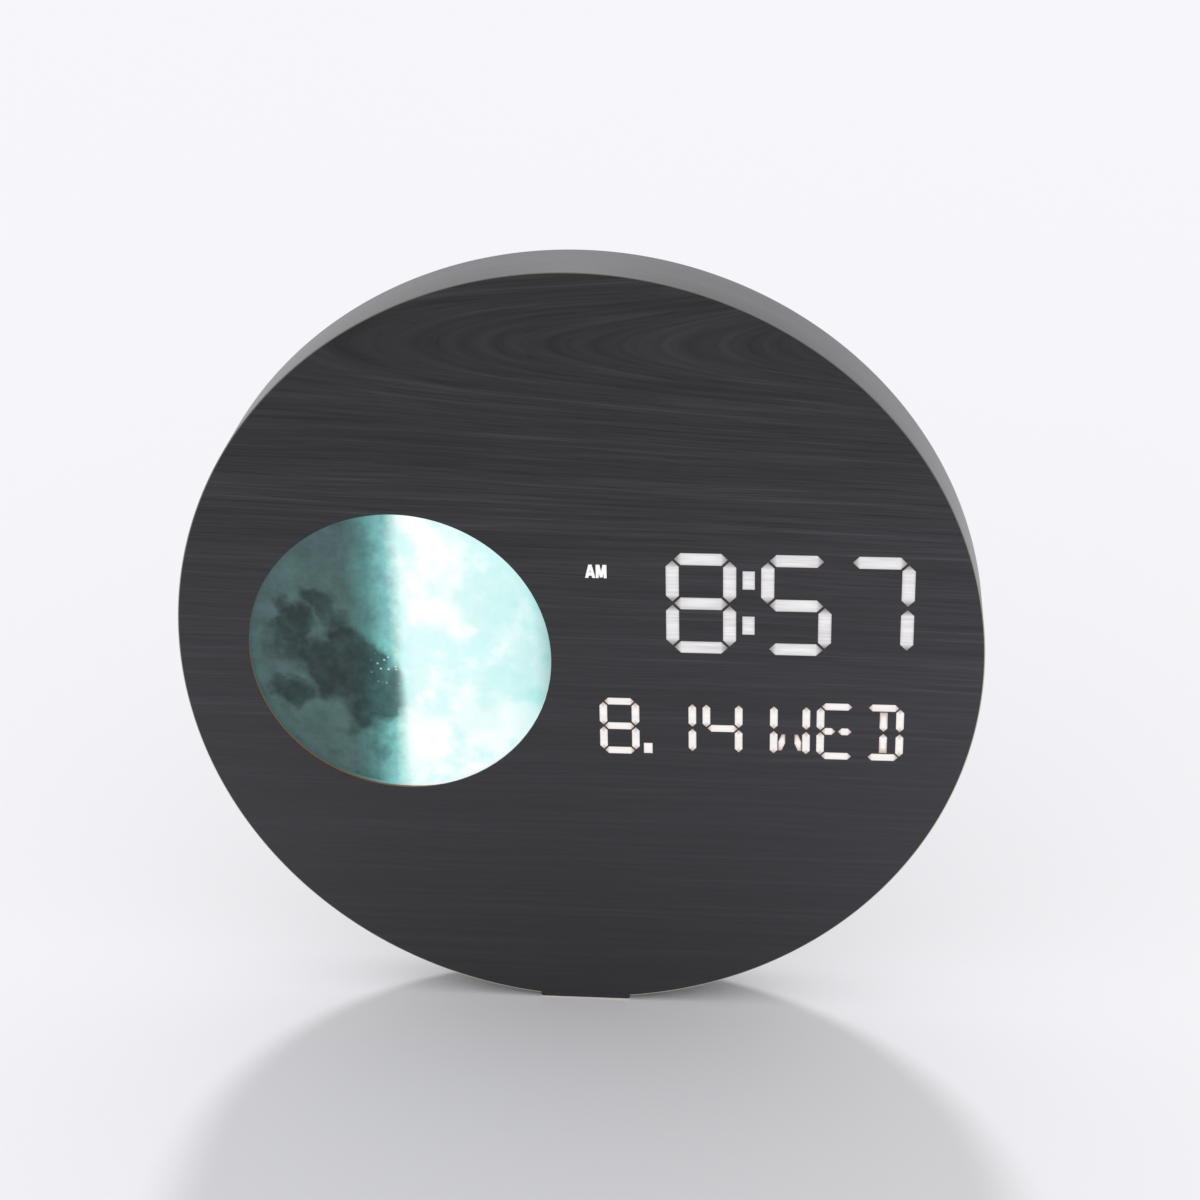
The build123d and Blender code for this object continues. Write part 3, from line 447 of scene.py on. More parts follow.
class Paint:
    """Short calls that build one material's nodes."""

    def __init__(self, name, roughness=0.5, metallic=0.0, specular=0.5):
        self.material = bpy.data.materials.new(name)
        self.material.use_nodes = True
        self.tree = self.material.node_tree
        self.shader = self.tree.nodes["Principled BSDF"]
        self.shader.inputs["Roughness"].default_value = roughness
        self.shader.inputs["Metallic"].default_value = metallic
        self.shader.inputs["Specular IOR Level"].default_value = specular

    def node(self, kind, inputs=None, **settings):
        made = self.tree.nodes.new(kind)
        for key, value in settings.items():
            setattr(made, key, value)
        for key, value in (inputs or {}).items():
            self.feed(made.inputs[key], value)
        return made

    def feed(self, socket, value):
        if isinstance(value, bpy.types.NodeSocket):
            self.tree.links.new(value, socket)
        else:
            socket.default_value = value

    def set(self, name, value):
        self.feed(self.shader.inputs[name], value)

    def place(self):
        """The point on the surface in the disc's frame, in millimetres."""
        point = self.node("ShaderNodeTexCoord").outputs["Object"]
        where, turn, size = TO_DISC.decompose()
        inputs = {"Vector": point, "Location": where, "Rotation": turn.to_euler(), "Scale": size}
        return self.node("ShaderNodeMapping", inputs).outputs["Vector"]

    def split(self, vector):
        parts = self.node("ShaderNodeSeparateXYZ", {"Vector": vector})
        return parts.outputs["X"], parts.outputs["Y"], parts.outputs["Z"]

    def join(self, x, y, z=0.0):
        return self.node("ShaderNodeCombineXYZ", {"X": x, "Y": y, "Z": z}).outputs["Vector"]

    def math(self, operation, first, second=0.0, clamp=False):
        made = self.node("ShaderNodeMath", {0: first, 1: second}, operation=operation, use_clamp=clamp)
        return made.outputs["Value"]

    def grid(self, first, first_size, second, second_size, layer=0.0):
        """Two coordinates counted in cells of the given sizes, on one layer of a pattern."""
        along = self.math("DIVIDE", first, first_size)
        return self.join(along, self.math("DIVIDE", second, second_size), layer)

    def distance(self, x, z, place_x=0.0, place_z=0.0):
        off_x = self.math("POWER", self.math("SUBTRACT", x, place_x), 2.0)
        off_z = self.math("POWER", self.math("SUBTRACT", z, place_z), 2.0)
        return self.math("SQRT", self.math("ADD", off_x, off_z))

    def noise(self, vector, scale=1.0, detail=2.0, roughness=0.5):
        inputs = {"Vector": vector, "Scale": scale, "Detail": detail, "Roughness": roughness}
        return self.node("ShaderNodeTexNoise", inputs).outputs["Fac"]

    def vary(self, noise, low, high):
        """A noise spread from low to high over the range where most of it lies."""
        return self.stretch(noise, 0.3, 0.7, low, high)

    def stretch(self, value, low, high, to_low=0.0, to_high=1.0, smooth=False):
        inputs = {"Value": value, "From Min": low, "From Max": high, "To Min": to_low, "To Max": to_high}
        kind = "SMOOTHSTEP" if smooth else "LINEAR"
        return self.node("ShaderNodeMapRange", inputs, interpolation_type=kind).outputs["Result"]

    def mix(self, factor, first, second):
        made = self.node("ShaderNodeMix", data_type="RGBA")
        self.feed(made.inputs["Factor"], factor)
        self.feed(made.inputs[6], first)
        self.feed(made.inputs[7], second)
        return made.outputs[2]

    def times(self, first, second):
        """Two colours multiplied."""
        made = self.node("ShaderNodeVectorMath", {0: first, 1: second}, operation="MULTIPLY")
        return made.outputs["Vector"]

    def shade(self, colour, amount):
        """A colour times a number."""
        made = self.node("ShaderNodeVectorMath", {0: colour, "Scale": amount}, operation="SCALE")
        return made.outputs["Vector"]

    def ramp(self, value, stops):
        made = self.node("ShaderNodeValToRGB", {"Fac": value})
        elements = made.color_ramp.elements
        elements.remove(elements[1])
        for index, (position, colour) in enumerate(stops):
            element = elements[0] if index == 0 else elements.new(position)
            element.position = position
            element.color = colour
        return made.outputs["Color"]

    def bump(self, height, distance):
        made = self.node("ShaderNodeBump", {"Height": height, "Distance": distance * MM})
        self.set("Normal", made.outputs["Normal"])


# Wood-grain film

film_dark = from_srgb(30, 30, 33)
film_light = from_srgb(63, 63, 67)
# Painted highlight on the film's edges, palest low down and darker high up
edge_highlight_low = from_srgb(232, 220, 200)
edge_highlight_high = from_srgb(122, 118, 113)
film_edge_width = 0.42
film_relief = 0.05
face_roughness = 0.5
face_specular = 0.28
rim_roughness = 0.33
rim_specular = 0.7
# Painted light: the rim's copy of the film is made lighter by this factor
rim_painted_light = 1.35
fibre_length, fibre_width = 26.0, 0.42
pore_length, pore_width = 7.0, 0.3
streak_length, streak_width = 95.0, 1.5
band_length, band_width = 230.0, 8.0
wander_length, wander_width = 110.0, 40.0
wander_reach = 0.9
grain_middle = 0.43
line_contrast = 0.42
light_contrast = 0.5
fibre_contrast = 0.26
band_contrast = 0.15
pore_contrast = 0.34
faintest_band = 0.3
fibre_relief_share, streak_relief_share = 0.6, 0.4

# How much of the grain shows: low on the face, high on it, and on the rim
low_presence, high_presence = 0.25, 1.0
presence_starts, presence_ends = -50.0, 70.0
rim_presence = 0.7

# Painted light and shade on the face: its level round the middle, near the top, at the foot
# and at the far right
middle_painted_light, top_painted_shade = 1.32, 0.8
foot_painted_shade = 0.9
right_painted_light = 1.2
top_starts, top_ends = -20.0, 110.0
foot_ends = -60.0

# The face's figure: parabolas that open to the viewer's right, about a level line near the top
figure_axis_z = 103.0
figure_opening = 0.32
figure_far_x = 140.0


def wood_grain(paint, along, across, presence):
    """Tone from 0 to 1 of printed grain that runs along one coordinate."""
    band = paint.noise(paint.grid(along, band_length, across, band_width))
    streak_cells = paint.grid(along, streak_length, across, streak_width, 7.0)
    streak = paint.noise(streak_cells, detail=3.0, roughness=0.62)
    fibre = paint.noise(paint.grid(along, fibre_length, across, fibre_width, 3.0))
    pore = paint.noise(paint.grid(along, pore_length, across, pore_width, 5.0), detail=1.0)
    strength = paint.stretch(band, 0.35, 0.65, faintest_band, 1.0)
    lines = paint.vary(streak, -line_contrast, line_contrast)
    lights = paint.stretch(streak, 0.57, 0.73, 0.0, light_contrast, smooth=True)
    tone = paint.math("MULTIPLY", paint.math("ADD", lines, lights), strength)
    tone = paint.math("ADD", tone, paint.stretch(fibre, 0.25, 0.75, -fibre_contrast, fibre_contrast))
    tone = paint.math("ADD", tone, paint.vary(band, -band_contrast, band_contrast))
    tone = paint.math("SUBTRACT", tone, paint.stretch(pore, 0.64, 0.76, 0.0, pore_contrast))
    tone = paint.math("MULTIPLY", tone, presence)
    return paint.math("ADD", tone, grain_middle, clamp=True), fibre, streak


def face_grain(paint):
    """Grain of the face: nested arches near the top that level out lower down."""
    x, _, z = paint.split(paint.place())
    rise = paint.math("SUBTRACT", z, figure_axis_z)
    reach = paint.math("DIVIDE", paint.math("SUBTRACT", figure_far_x, x), figure_opening)
    across = paint.math("SQRT", paint.math("ADD", paint.math("POWER", rise, 2.0), reach))
    wander = paint.noise(paint.grid(x, wander_length, z, wander_width, 1.0), detail=1.0)
    across = paint.math("ADD", across, paint.vary(wander, -wander_reach, wander_reach))
    return x, across, paint.stretch(z, presence_starts, presence_ends, low_presence, high_presence)


def rim_grain(paint):
    """Grain that runs round the rim."""
    x, depth, z = paint.split(paint.place())
    angle = paint.math("ARCTAN2", x, z)
    return paint.math("MULTIPLY", angle, disc_radius), depth, rim_presence


def face_painted_light_and_shade(paint):
    """Painted shade high and low on the face, painted light round its middle and to the right."""
    x, _, z = paint.split(paint.place())
    rise = paint.stretch(z, top_starts, top_ends, middle_painted_light, top_painted_shade, smooth=True)
    fall = paint.stretch(z, -disc_radius, foot_ends, foot_painted_shade, 1.0)
    level = paint.math("MULTIPLY", rise, fall)
    return paint.math("MULTIPLY", level, paint.stretch(x, 0.0, disc_radius, 1.0, right_painted_light))


def face_edge_highlight(paint):
    """Painted highlight along the face's edge, left out in front of the base pad."""
    x, _, z = paint.split(paint.place())
    start = disc_radius - film_edge_width
    edge = paint.stretch(paint.distance(x, z), start, start + film_edge_width / 2, smooth=True)
    beyond = paint.math("GREATER_THAN", paint.distance(x, z, 0.0, -disc_radius), pad_reach)
    return paint.math("MULTIPLY", edge, beyond)


# Painted highlight along the rim's back edge
def rim_edge_highlight(paint):
    _, depth, _ = paint.split(paint.place())
    start = disc_back - film_edge_width
    return paint.stretch(depth, start, start + film_edge_width / 2, 0.0, 0.5, smooth=True)


def film_paint(name, grain, painted_light_and_shade, edge, roughness, specular):
    """Printed film: grain, painted light and shade, and a painted edge highlight, palest low down."""
    paint = Paint(name, roughness=roughness, specular=specular)
    tone, fibre, streak = wood_grain(paint, *grain(paint))
    colour = paint.shade(paint.mix(tone, film_dark, film_light), painted_light_and_shade(paint))
    _, _, z = paint.split(paint.place())
    # The edges' painted highlight colour, palest low down
    wear_and_edge_highlight = paint.mix(paint.stretch(z, -disc_radius / 2, disc_radius / 2), edge_highlight_low, edge_highlight_high)
    paint.set("Base Color", paint.mix(edge(paint), colour, wear_and_edge_highlight))
    fibre_height = paint.math("MULTIPLY", fibre, fibre_relief_share)
    streak_height = paint.math("MULTIPLY", streak, streak_relief_share)
    paint.bump(paint.math("ADD", fibre_height, streak_height), film_relief)
    return paint


face_values = (face_grain, face_painted_light_and_shade, face_edge_highlight, face_roughness, face_specular)
face_film = film_paint("wood_grain_film_face", *face_values).material
# The rim's film is the face's film with painted light, lighter all over
rim_values = (rim_grain, lambda paint: rim_painted_light, rim_edge_highlight, rim_roughness, rim_specular)
rim_film = film_paint("wood_grain_film_rim", *rim_values).material


glow_length, glow_width = 9.0, 0.42
soft_glow_length, soft_glow_width = 30.0, 1.6
time_contrast, date_contrast, letter_contrast = 0.15, 0.07, 0.03
letter_white = from_srgb(250, 248, 248)


def lit_paint(name, bright, dim, contrast):
    """Film with a lamp behind it: fibres show as level lines, and the light falls off at the tips."""
    paint = film_paint(name, *face_values)
    x, _, z = paint.split(paint.place())
    lamp = paint.node("ShaderNodeAttribute", attribute_name="lamp_light").outputs["Fac"]
    fine = paint.noise(paint.grid(x, glow_length, z, glow_width, 4.0), detail=3.0)
    wide = paint.noise(paint.grid(x, soft_glow_length, z, soft_glow_width, 9.0))
    fine_level = paint.vary(fine, 1 - contrast, 1 + contrast / 3)
    wide_level = paint.vary(wide, 1 - contrast, 1 + contrast / 2)
    level = paint.math("MULTIPLY", fine_level, wide_level)
    paint.set("Emission Color", paint.shade(paint.mix(lamp, dim, bright), level))
    paint.set("Emission Strength", 1.0)
    return paint.material


lit_time = lit_paint("lit_time_bars", from_srgb(235, 232, 234), from_srgb(138, 129, 126), time_contrast)
lit_date = lit_paint("lit_date_bars", from_srgb(246, 243, 241), from_srgb(188, 162, 144), date_contrast)
lit_letters = lit_paint("lit_am", letter_white, letter_white, letter_contrast)


# Face


def face_loops():
    """Every loop of the face's sheet, with its light at sides and tips, and the rows of lit areas."""
    time_row, date_row, letters = lit_time_bars(), lit_date_bars(), am_strokes()
    lit = time_row + date_row
    window = circle_points(window_radius + window_edge_round, window_segments, moon_x, moon_z)
    loops = [circle_points(disc_radius - edge_round, fine_segments), window] + lit + letters
    levels = [edge_lights] * len(loops)
    loops += [inset(points, time_margin) for points in time_row]
    loops += [inset(points, date_margin) for points in date_row]
    loops += [shrunk(points, core_share) for points in lit]
    levels += [margin_lights] * len(lit) + [core_lights] * len(lit)
    return loops, levels, (time_row, date_row, letters)


def middle_of(points, triangle):
    return sum((points[i] for i in triangle), Vector((0, 0))) / 3


def in_window(point, radius):
    """True within the window, whose outline has the given radius in the layer in hand."""
    return hypot(point.x - moon_x, point.y - moon_z) < radius


def ring(bm, radius, depth, segments, x=0.0, z=0.0):
    return [bm.verts.new((px, depth, pz)) for px, pz in circle_points(radius, segments, x, z)]


def bridge(bm, near, far):
    """Faces between two loops with as many points."""
    for i in range(len(near)):
        j = (i + 1) % len(near)
        bm.faces.new([near[i], near[j], far[j], far[i]])
    return far


def close_sheet(bm, outer, inner):
    """Sides and back of the sheet, from the front's outer loop and the window's loop."""
    edge = arc(disc_radius - edge_round, edge_round, edge_round, -90, 0, 4)[1:]
    for radius, depth in edge + [(disc_radius, film_back)]:
        outer = bridge(bm, outer, ring(bm, radius, depth, fine_segments))
    for depth in (window_edge_round, film_back):
        inner = bridge(bm, inner, ring(bm, window_radius, depth, window_segments, moon_x, moon_z))
    points, triangles, moved = triangulate([[(v.co.x, v.co.z) for v in loop] for loop in (outer, inner)])
    verts = {}
    for loop, places in zip((outer, inner), moved):
        verts.update(zip(places, loop))
    for triangle in triangles:
        if not in_window(middle_of(points, triangle), window_radius):
            bm.faces.new([verts[i] for i in triangle])


def face_skin():
    """Film over the face, in one piece, with every lit bar as an area of its own in the sheet."""
    loops, levels, rows = face_loops()
    points, triangles, moved = triangulate(loops)
    bm = bmesh.new()
    lamp = bm.verts.layers.float.new("lamp_light")
    verts = [bm.verts.new((p.x, 0.0, p.y)) for p in points]
    for loop, places, (side_level, tip_level) in zip(loops, moved, levels):
        for index, is_tip in zip(places, tips_of(loop)):
            verts[index][lamp] = tip_level if is_tip else side_level
    for triangle in triangles:
        middle = middle_of(points, triangle)
        if in_window(middle, window_radius + window_edge_round):
            continue
        face = bm.faces.new([verts[i] for i in triangle])
        for slot, row in enumerate(rows, 1):
            if any(inside(middle, outline) for outline in row):
                face.material_index = slot
    outer, inner = [[verts[i] for i in places] for places in moved[:2]]
    close_sheet(bm, outer, inner)
    bmesh.ops.recalc_face_normals(bm, faces=bm.faces)
    piece = make_piece("face_skin", bm, [face_film, lit_time, lit_date, lit_letters])
    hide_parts("face_film")


def rim_skin():
    """Film round the rim, with a small round at the back."""
    core = disc_radius - film_back
    profile = [(disc_radius, film_back)]
    profile += arc(disc_radius - edge_round, disc_back - edge_round, edge_round, 0, 90, 4)
    profile += [(core, disc_back), (core, film_back)]
    piece = make_piece("rim_skin", turned(profile, fine_segments, closed=True), [rim_film])
    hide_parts("edge_film")


# Moon

# Dark plains of the printed moon: place across and up and radius, in shares of the window's radius,
# and darkness
plain_shares = [
    (-0.72, 0.07, 0.14, 0.85), (-0.69, 0.20, 0.09, 0.6), (-0.745, -0.32, 0.10, 1.0),
    (-0.51, 0.32, 0.08, 0.9), (-0.74, 0.32, 0.045, 0.7), (-0.44, -0.10, 0.165, 1.0),
    (-0.32, 0.01, 0.13, 0.95), (-0.48, -0.25, 0.105, 0.8), (-0.385, 0.19, 0.07, 0.7),
    (-0.20, -0.35, 0.15, 0.75), (-0.10, -0.40, 0.12, 0.4), (-0.34, -0.58, 0.07, 0.4),
    (-0.16, -0.71, 0.06, 0.4), (-0.24, -0.16, 0.13, 0.85), (0.56, 0.36, 0.17, 0.8),
    (0.72, 0.50, 0.12, 0.7), (0.62, 0.20, 0.12, 0.6), (0.30, 0.42, 0.10, 0.4),
    (0.66, -0.22, 0.16, 0.7), (0.50, -0.48, 0.14, 0.5), (0.80, -0.02, 0.10, 0.6),
    (-0.11, -0.17, 0.11, 0.6), (-0.04, -0.29, 0.11, 0.5), (-0.20, -0.47, 0.10, 0.5),
]
# Light behind the print, from its left edge at 0 to its right edge at 1: the dark half, the light that
# spills past the last baffle, the lit half, and its fall towards the rim. The dark half's glow is partly
# light leaking past the baffles and partly painted light that stands in for room light on the print.
moon_lights = [
    (0.33, (0.046, 0.090, 0.095)),
    (0.40, (0.066, 0.195, 0.197)),
    (0.465, (0.21, 0.50, 0.52)),
    (0.515, (0.78, 0.98, 0.97)),
    (0.55, (0.92, 1.0, 1.0)),
    (0.85, (0.77, 0.97, 0.965)),
    (0.94, (0.55, 0.86, 0.85)),
    (1.0, (0.28, 0.52, 0.50)),
]
moon_grey = (0.030, 0.033, 0.033, 1.0)
moon_dark_grey = (0.012, 0.014, 0.015, 1.0)
lit_cyan = (0.78, 0.950, 0.940, 1.0)
lit_white = (1.13, 1.02, 1.02, 1.0)
lit_plain = (0.74, 0.92, 0.90, 1.0)
green_tint = (0.92, 1.10, 1.0, 1.0)
sway_scale = 4.0
plain_darkness = 0.7
plain_sway = 0.11
plain_full_share, plain_end_share = 0.8, 1.6
mottle_scale = 6.0
fine_scale = 24.0
cloud_scale = 2.7
moon_relief = 0.004
speckle_place = (-0.07, -0.13)
speckle_reach = 0.17
speckle_scale = 16.0
speckle_light = (0.75, 0.95, 0.95, 1.0)


def window_shares(paint):
    """Where a point lies across and up the moon window, as shares of its radius."""
    x, _, z = paint.split(paint.place())
    u = paint.math("DIVIDE", paint.math("SUBTRACT", x, moon_x), window_radius)
    v = paint.math("DIVIDE", paint.math("SUBTRACT", z, moon_z), window_radius)
    return u, v


def moon_light(paint, u):
    share = paint.math("MULTIPLY", paint.math("ADD", u, 1.0), 0.5, clamp=True)
    return paint.ramp(share, [(at, (*colour, 1.0)) for at, colour in moon_lights])


def plains(paint, u, v):
    """How dark the moon's plains are at a point, with their outlines bent by noise."""
    sway_u = paint.noise(paint.join(u, v), sway_scale, detail=5.0)
    sway_v = paint.noise(paint.join(u, v, 5.0), sway_scale, detail=5.0)
    bent_u = paint.math("ADD", u, paint.stretch(sway_u, 0.2, 0.8, -plain_sway, plain_sway))
    bent_v = paint.math("ADD", v, paint.stretch(sway_v, 0.2, 0.8, -plain_sway, plain_sway))
    dark = 0.0
    for plain_u, plain_v, radius, depth in plain_shares:
        far = paint.distance(bent_u, bent_v, plain_u, plain_v)
        end, full = radius * plain_end_share, radius * plain_full_share
        patch = paint.stretch(far, end, full, 0.0, depth, smooth=True)
        dark = paint.math("ADD", dark, patch)
    return paint.math("MINIMUM", dark, 1.0)


def moon_material():
    """Printed moon with the lamps behind its right half lit."""
    paint = Paint("printed_moon", roughness=0.2, specular=0.22)
    u, v = window_shares(paint)
    mottle = paint.noise(paint.join(u, v), scale=mottle_scale, detail=8.0, roughness=0.62)
    fine = paint.noise(paint.join(u, v, 2.0), scale=fine_scale, detail=4.0, roughness=0.6)
    cloud = paint.noise(paint.join(u, v, 8.0), scale=cloud_scale, detail=5.0, roughness=0.55)
    faded = paint.stretch(mottle, 0.3, 0.65, 1.15, 0.82)
    dark = paint.math("MULTIPLY", plains(paint, u, v), faded, clamp=True)
    relief = paint.vary(mottle, 0.63, 1.15)
    land = paint.math("ADD", relief, paint.vary(fine, 0.0, 0.14))
    light = moon_light(paint, u)

    dim_level = paint.math("MULTIPLY", land, paint.stretch(dark, 0.0, 1.0, 1.0, 1 - plain_darkness))
    green = paint.mix(paint.stretch(cloud, 0.4, 0.6), (1.0, 1.0, 1.0, 1.0), green_tint)
    dim_colour = paint.shade(paint.times(light, green), dim_level)
    spots = {"Vector": paint.join(u, v), "Scale": speckle_scale}
    cells = paint.node("ShaderNodeTexVoronoi", spots, voronoi_dimensions="2D").outputs["Distance"]
    near = paint.stretch(paint.distance(u, v, *speckle_place), speckle_reach, 0.05, smooth=True)
    speckle = paint.math("MULTIPLY", paint.stretch(cells, 0.03, 0.16, 0.8, 0.0), near)
    dim_colour = paint.mix(speckle, dim_colour, speckle_light)

    clouded = paint.mix(paint.stretch(cloud, 0.45, 0.62, smooth=True), lit_cyan, lit_white)
    clouded = paint.mix(paint.math("MULTIPLY", dark, 0.8), clouded, lit_plain)
    bright_colour = paint.shade(paint.times(light, clouded), paint.vary(fine, 0.985, 1.015))

    lit = paint.stretch(u, -0.05, 0.05, smooth=True)
    paint.set("Emission Color", paint.mix(lit, dim_colour, bright_colour))
    paint.set("Emission Strength", 1.0)
    paint.set("Base Color", paint.shade(paint.mix(dark, moon_grey, moon_dark_grey), land))
    paint.set("Roughness", paint.vary(mottle, 0.16, 0.26))
    paint.bump(fine, moon_relief)
    return paint.material


# Depth from which the window's wall gets painted shade and painted light from the moon,
# beside its dark half and beside its lit half
wall_dark_side = 1.35
wall_lit_side = 0.5
wall_light_blend = 0.15
wall_light_share = 0.9
wall_reach = 0.6
wall_light_place = 0.7
bare_board = (0.34, 0.17, 0.075)
painted_wall_shade = (0.03, 0.03, 0.03, 1.0)


def face_board_material():
    """Bare board; on the window's wall, painted shade with painted light from the moon's lamps."""
    paint = Paint("face_board", roughness=0.85, specular=0.3)
    u, v = window_shares(paint)
    point = paint.place()
    _, depth, _ = paint.split(point)
    speck = paint.noise(point, scale=2.0, detail=3.0, roughness=0.6)
    edge = 1 + wall_reach / window_radius
    near = paint.math("LESS_THAN", paint.distance(u, v), edge)
    past = paint.math("SUBTRACT", depth, paint.stretch(u, 0.0, 0.25, wall_dark_side, wall_lit_side))
    painted_light_and_shade_mask = paint.math("MULTIPLY", near, paint.stretch(past, -wall_light_blend, wall_light_blend, smooth=True))
    board = paint.shade(bare_board, paint.vary(speck, 0.8, 1.2))
    paint.set("Base Color", paint.mix(painted_light_and_shade_mask, board, painted_wall_shade))
    paint.set("Emission Color", moon_light(paint, paint.math("MULTIPLY", u, wall_light_place)))
    paint.set("Emission Strength", paint.math("MULTIPLY", painted_light_and_shade_mask, wall_light_share))
    paint.bump(speck, 0.03)
    return paint.material


# Finishes of the carried-over pieces: colour, roughness, metal, tone variation, grain size in
# millimetres, bump height in millimetres and specular level

finishes = {
    "fibreboard": ((0.30, 0.165, 0.082), 0.85, 0.0, 0.22, 0.5, 0.05, 0.3),
    "opal_diffuser": ((0.80, 0.80, 0.78), 0.6, 0.0, 0.03, 2.0, 0.01, 0.4),
    "white_reflector": ((0.78, 0.78, 0.76), 0.45, 0.0, 0.03, 1.5, 0.01, 0.5),
    "circuit_board": ((0.02, 0.12, 0.05), 0.35, 0.0, 0.2, 1.2, 0.02, 0.5),
    "lamp": ((0.85, 0.80, 0.55), 0.3, 0.0, 0.1, 0.4, 0.01, 0.5),
    "black_component": ((0.02, 0.02, 0.021), 0.5, 0.0, 0.2, 0.4, 0.01, 0.4),
    "plunger": ((0.70, 0.68, 0.62), 0.5, 0.0, 0.06, 0.8, 0.01, 0.5),
    "black_plastic": ((0.022, 0.022, 0.023), 0.52, 0.0, 0.25, 0.35, 0.03, 0.45),
    "inlet_plastic": ((0.018, 0.018, 0.018), 0.28, 0.0, 0.2, 0.8, 0.01, 0.5),
    "rubber": ((0.02, 0.02, 0.02), 0.82, 0.0, 0.3, 0.5, 0.04, 0.3),
    "zinc_steel": ((0.60, 0.60, 0.59), 0.32, 1.0, 0.12, 1.6, 0.006, 0.5),
    "cell_steel": ((0.66, 0.66, 0.66), 0.22, 1.0, 0.06, 1.6, 0.004, 0.5),
    "black_steel": ((0.03, 0.03, 0.032), 0.38, 0.0, 0.25, 0.3, 0.015, 0.5),
    "standoff_brass": ((0.65, 0.46, 0.16), 0.3, 1.0, 0.1, 1.0, 0.004, 0.5),
}


def plain_finish(name, colour, roughness, metallic, variation, grain, relief, specular):
    """A material with cloudy tone, fine relief and uneven gloss."""
    paint = Paint(name, roughness=roughness, metallic=metallic, specular=specular)
    point = paint.place()
    cloud = paint.noise(point, scale=0.09, detail=4.0, roughness=0.6)
    speck = paint.noise(point, scale=1 / grain, detail=3.0, roughness=0.6)
    tone = paint.math("ADD", cloud, speck)
    level = paint.stretch(tone, 0.6, 1.4, 1 - variation, 1 + variation)
    paint.set("Base Color", paint.shade(colour, level))
    paint.set("Roughness", paint.vary(cloud, roughness * 0.88, roughness * 1.1))
    paint.bump(speck, relief)
    return paint.material


lacquer_black = (0.026, 0.026, 0.028, 1.0)
lacquer_worn = (0.05, 0.05, 0.052, 1.0)
scuff_turn = 0.6
scuff_stretch = (0.5, 1.0, 0.03)


def back_board_material():
    """Black-lacquered board with a slight orange-peel and a few light scuffs."""
    paint = Paint("black_board", roughness=0.5, specular=0.4)
    point = paint.place()
    peel = paint.noise(point, scale=0.9)
    cloud = paint.noise(point, scale=0.02, detail=4.0, roughness=0.55)
    slanted = {"Vector": point, "Rotation": Euler((0, scuff_turn, 0)), "Scale": scuff_stretch}
    scuff_at = paint.node("ShaderNodeMapping", slanted).outputs["Vector"]
    scuff = paint.noise(scuff_at, scale=1.6, detail=4.0, roughness=0.7)
    wear_and_edge_highlight = paint.stretch(scuff, 0.66, 0.78, 0.0, 0.5, smooth=True)
    lacquer = paint.mix(wear_and_edge_highlight, lacquer_black, lacquer_worn)
    paint.set("Base Color", paint.shade(lacquer, paint.vary(cloud, 0.85, 1.15)))
    paint.set("Roughness", paint.vary(cloud, 0.44, 0.58))
    paint.bump(peel, 0.04)
    return paint.material


pad_line_height = 0.32
pad_black = (0.036, 0.036, 0.038)


def pad_material():
    """Black rubber with a painted highlight, a pale line along its foot."""
    paint = Paint("base_pad", roughness=0.6, specular=0.3)
    _, _, height = paint.split(paint.node("ShaderNodeTexCoord").outputs["Object"])
    foot = paint.math("LESS_THAN", height, pad_line_height * MM)
    speck = paint.noise(paint.place(), scale=2.0, detail=3.0)
    rubber = paint.shade(pad_black, paint.vary(speck, 0.85, 1.15))
    paint.set("Base Color", paint.mix(foot, rubber, edge_highlight_low))
    paint.bump(speck, 0.02)
    return paint.material


inlet_pin_radius = 1.1
inlet_black = (0.02, 0.02, 0.02)
pin_nickel = (0.62, 0.60, 0.56, 1.0)


def inlet_material():
    """Black moulded inlet whose centre pin is nickel."""
    paint = Paint("inlet_with_pin", roughness=0.28)
    x, _, z = paint.split(paint.place())
    far = paint.distance(x, z, *middle_of_box(*disc_box("power_inlet")))
    pin = paint.math("LESS_THAN", far, inlet_pin_radius)
    speck = paint.noise(paint.place(), scale=2.5, detail=3.0)
    plastic = paint.shade(inlet_black, paint.vary(speck, 0.85, 1.15))
    paint.set("Base Color", paint.mix(pin, plastic, pin_nickel))
    paint.set("Metallic", pin)
    paint.bump(speck, 0.01)
    return paint.material


# Materials by slot, and by node where a piece has more than its slot's finish
slot_of = {subpart["node"]: subpart["material_slot"] for subpart in frame["record"]["subparts"]}
materials = {slot: plain_finish(slot, *values) for slot, values in finishes.items()}
materials["wood_grain_film"] = rim_film
materials["printed_moon"] = moon_material()
materials["black_board"] = back_board_material()
materials["power_inlet"] = inlet_material()
materials["face_board"] = face_board_material()
materials["base_pad"] = pad_material()

# Width of the small rounds on the edges of carried-over pieces
edge_rounds = {
    "support_leg": 0.35,
    "hinge_bracket": 0.12,
    "hanger_plate": 0.12,
    "cell_cap": 0.15,
    "power_inlet": 0.12,
    "base_pad": 0.3,
}


def soften(node, width, angle=35):
    """Small rounds on a carried-over piece's sharp edges."""
    piece = frame["nodes"][node]
    weld = piece.modifiers.new("weld", "WELD")
    weld.merge_threshold = 0.01 * MM
    rounds = piece.modifiers.new("rounds", "BEVEL")
    rounds.width = width * MM
    rounds.segments = 2
    rounds.limit_method = "ANGLE"
    rounds.angle_limit = radians(angle)
    rounds.harden_normals = True


for node, piece in frame["nodes"].items():
    finish = materials.get(node) or materials[slot_of[node]]
    piece.data.materials.clear()
    piece.data.materials.append(finish)
for node, width in edge_rounds.items():
    soften(node, width)


# Screws on the back


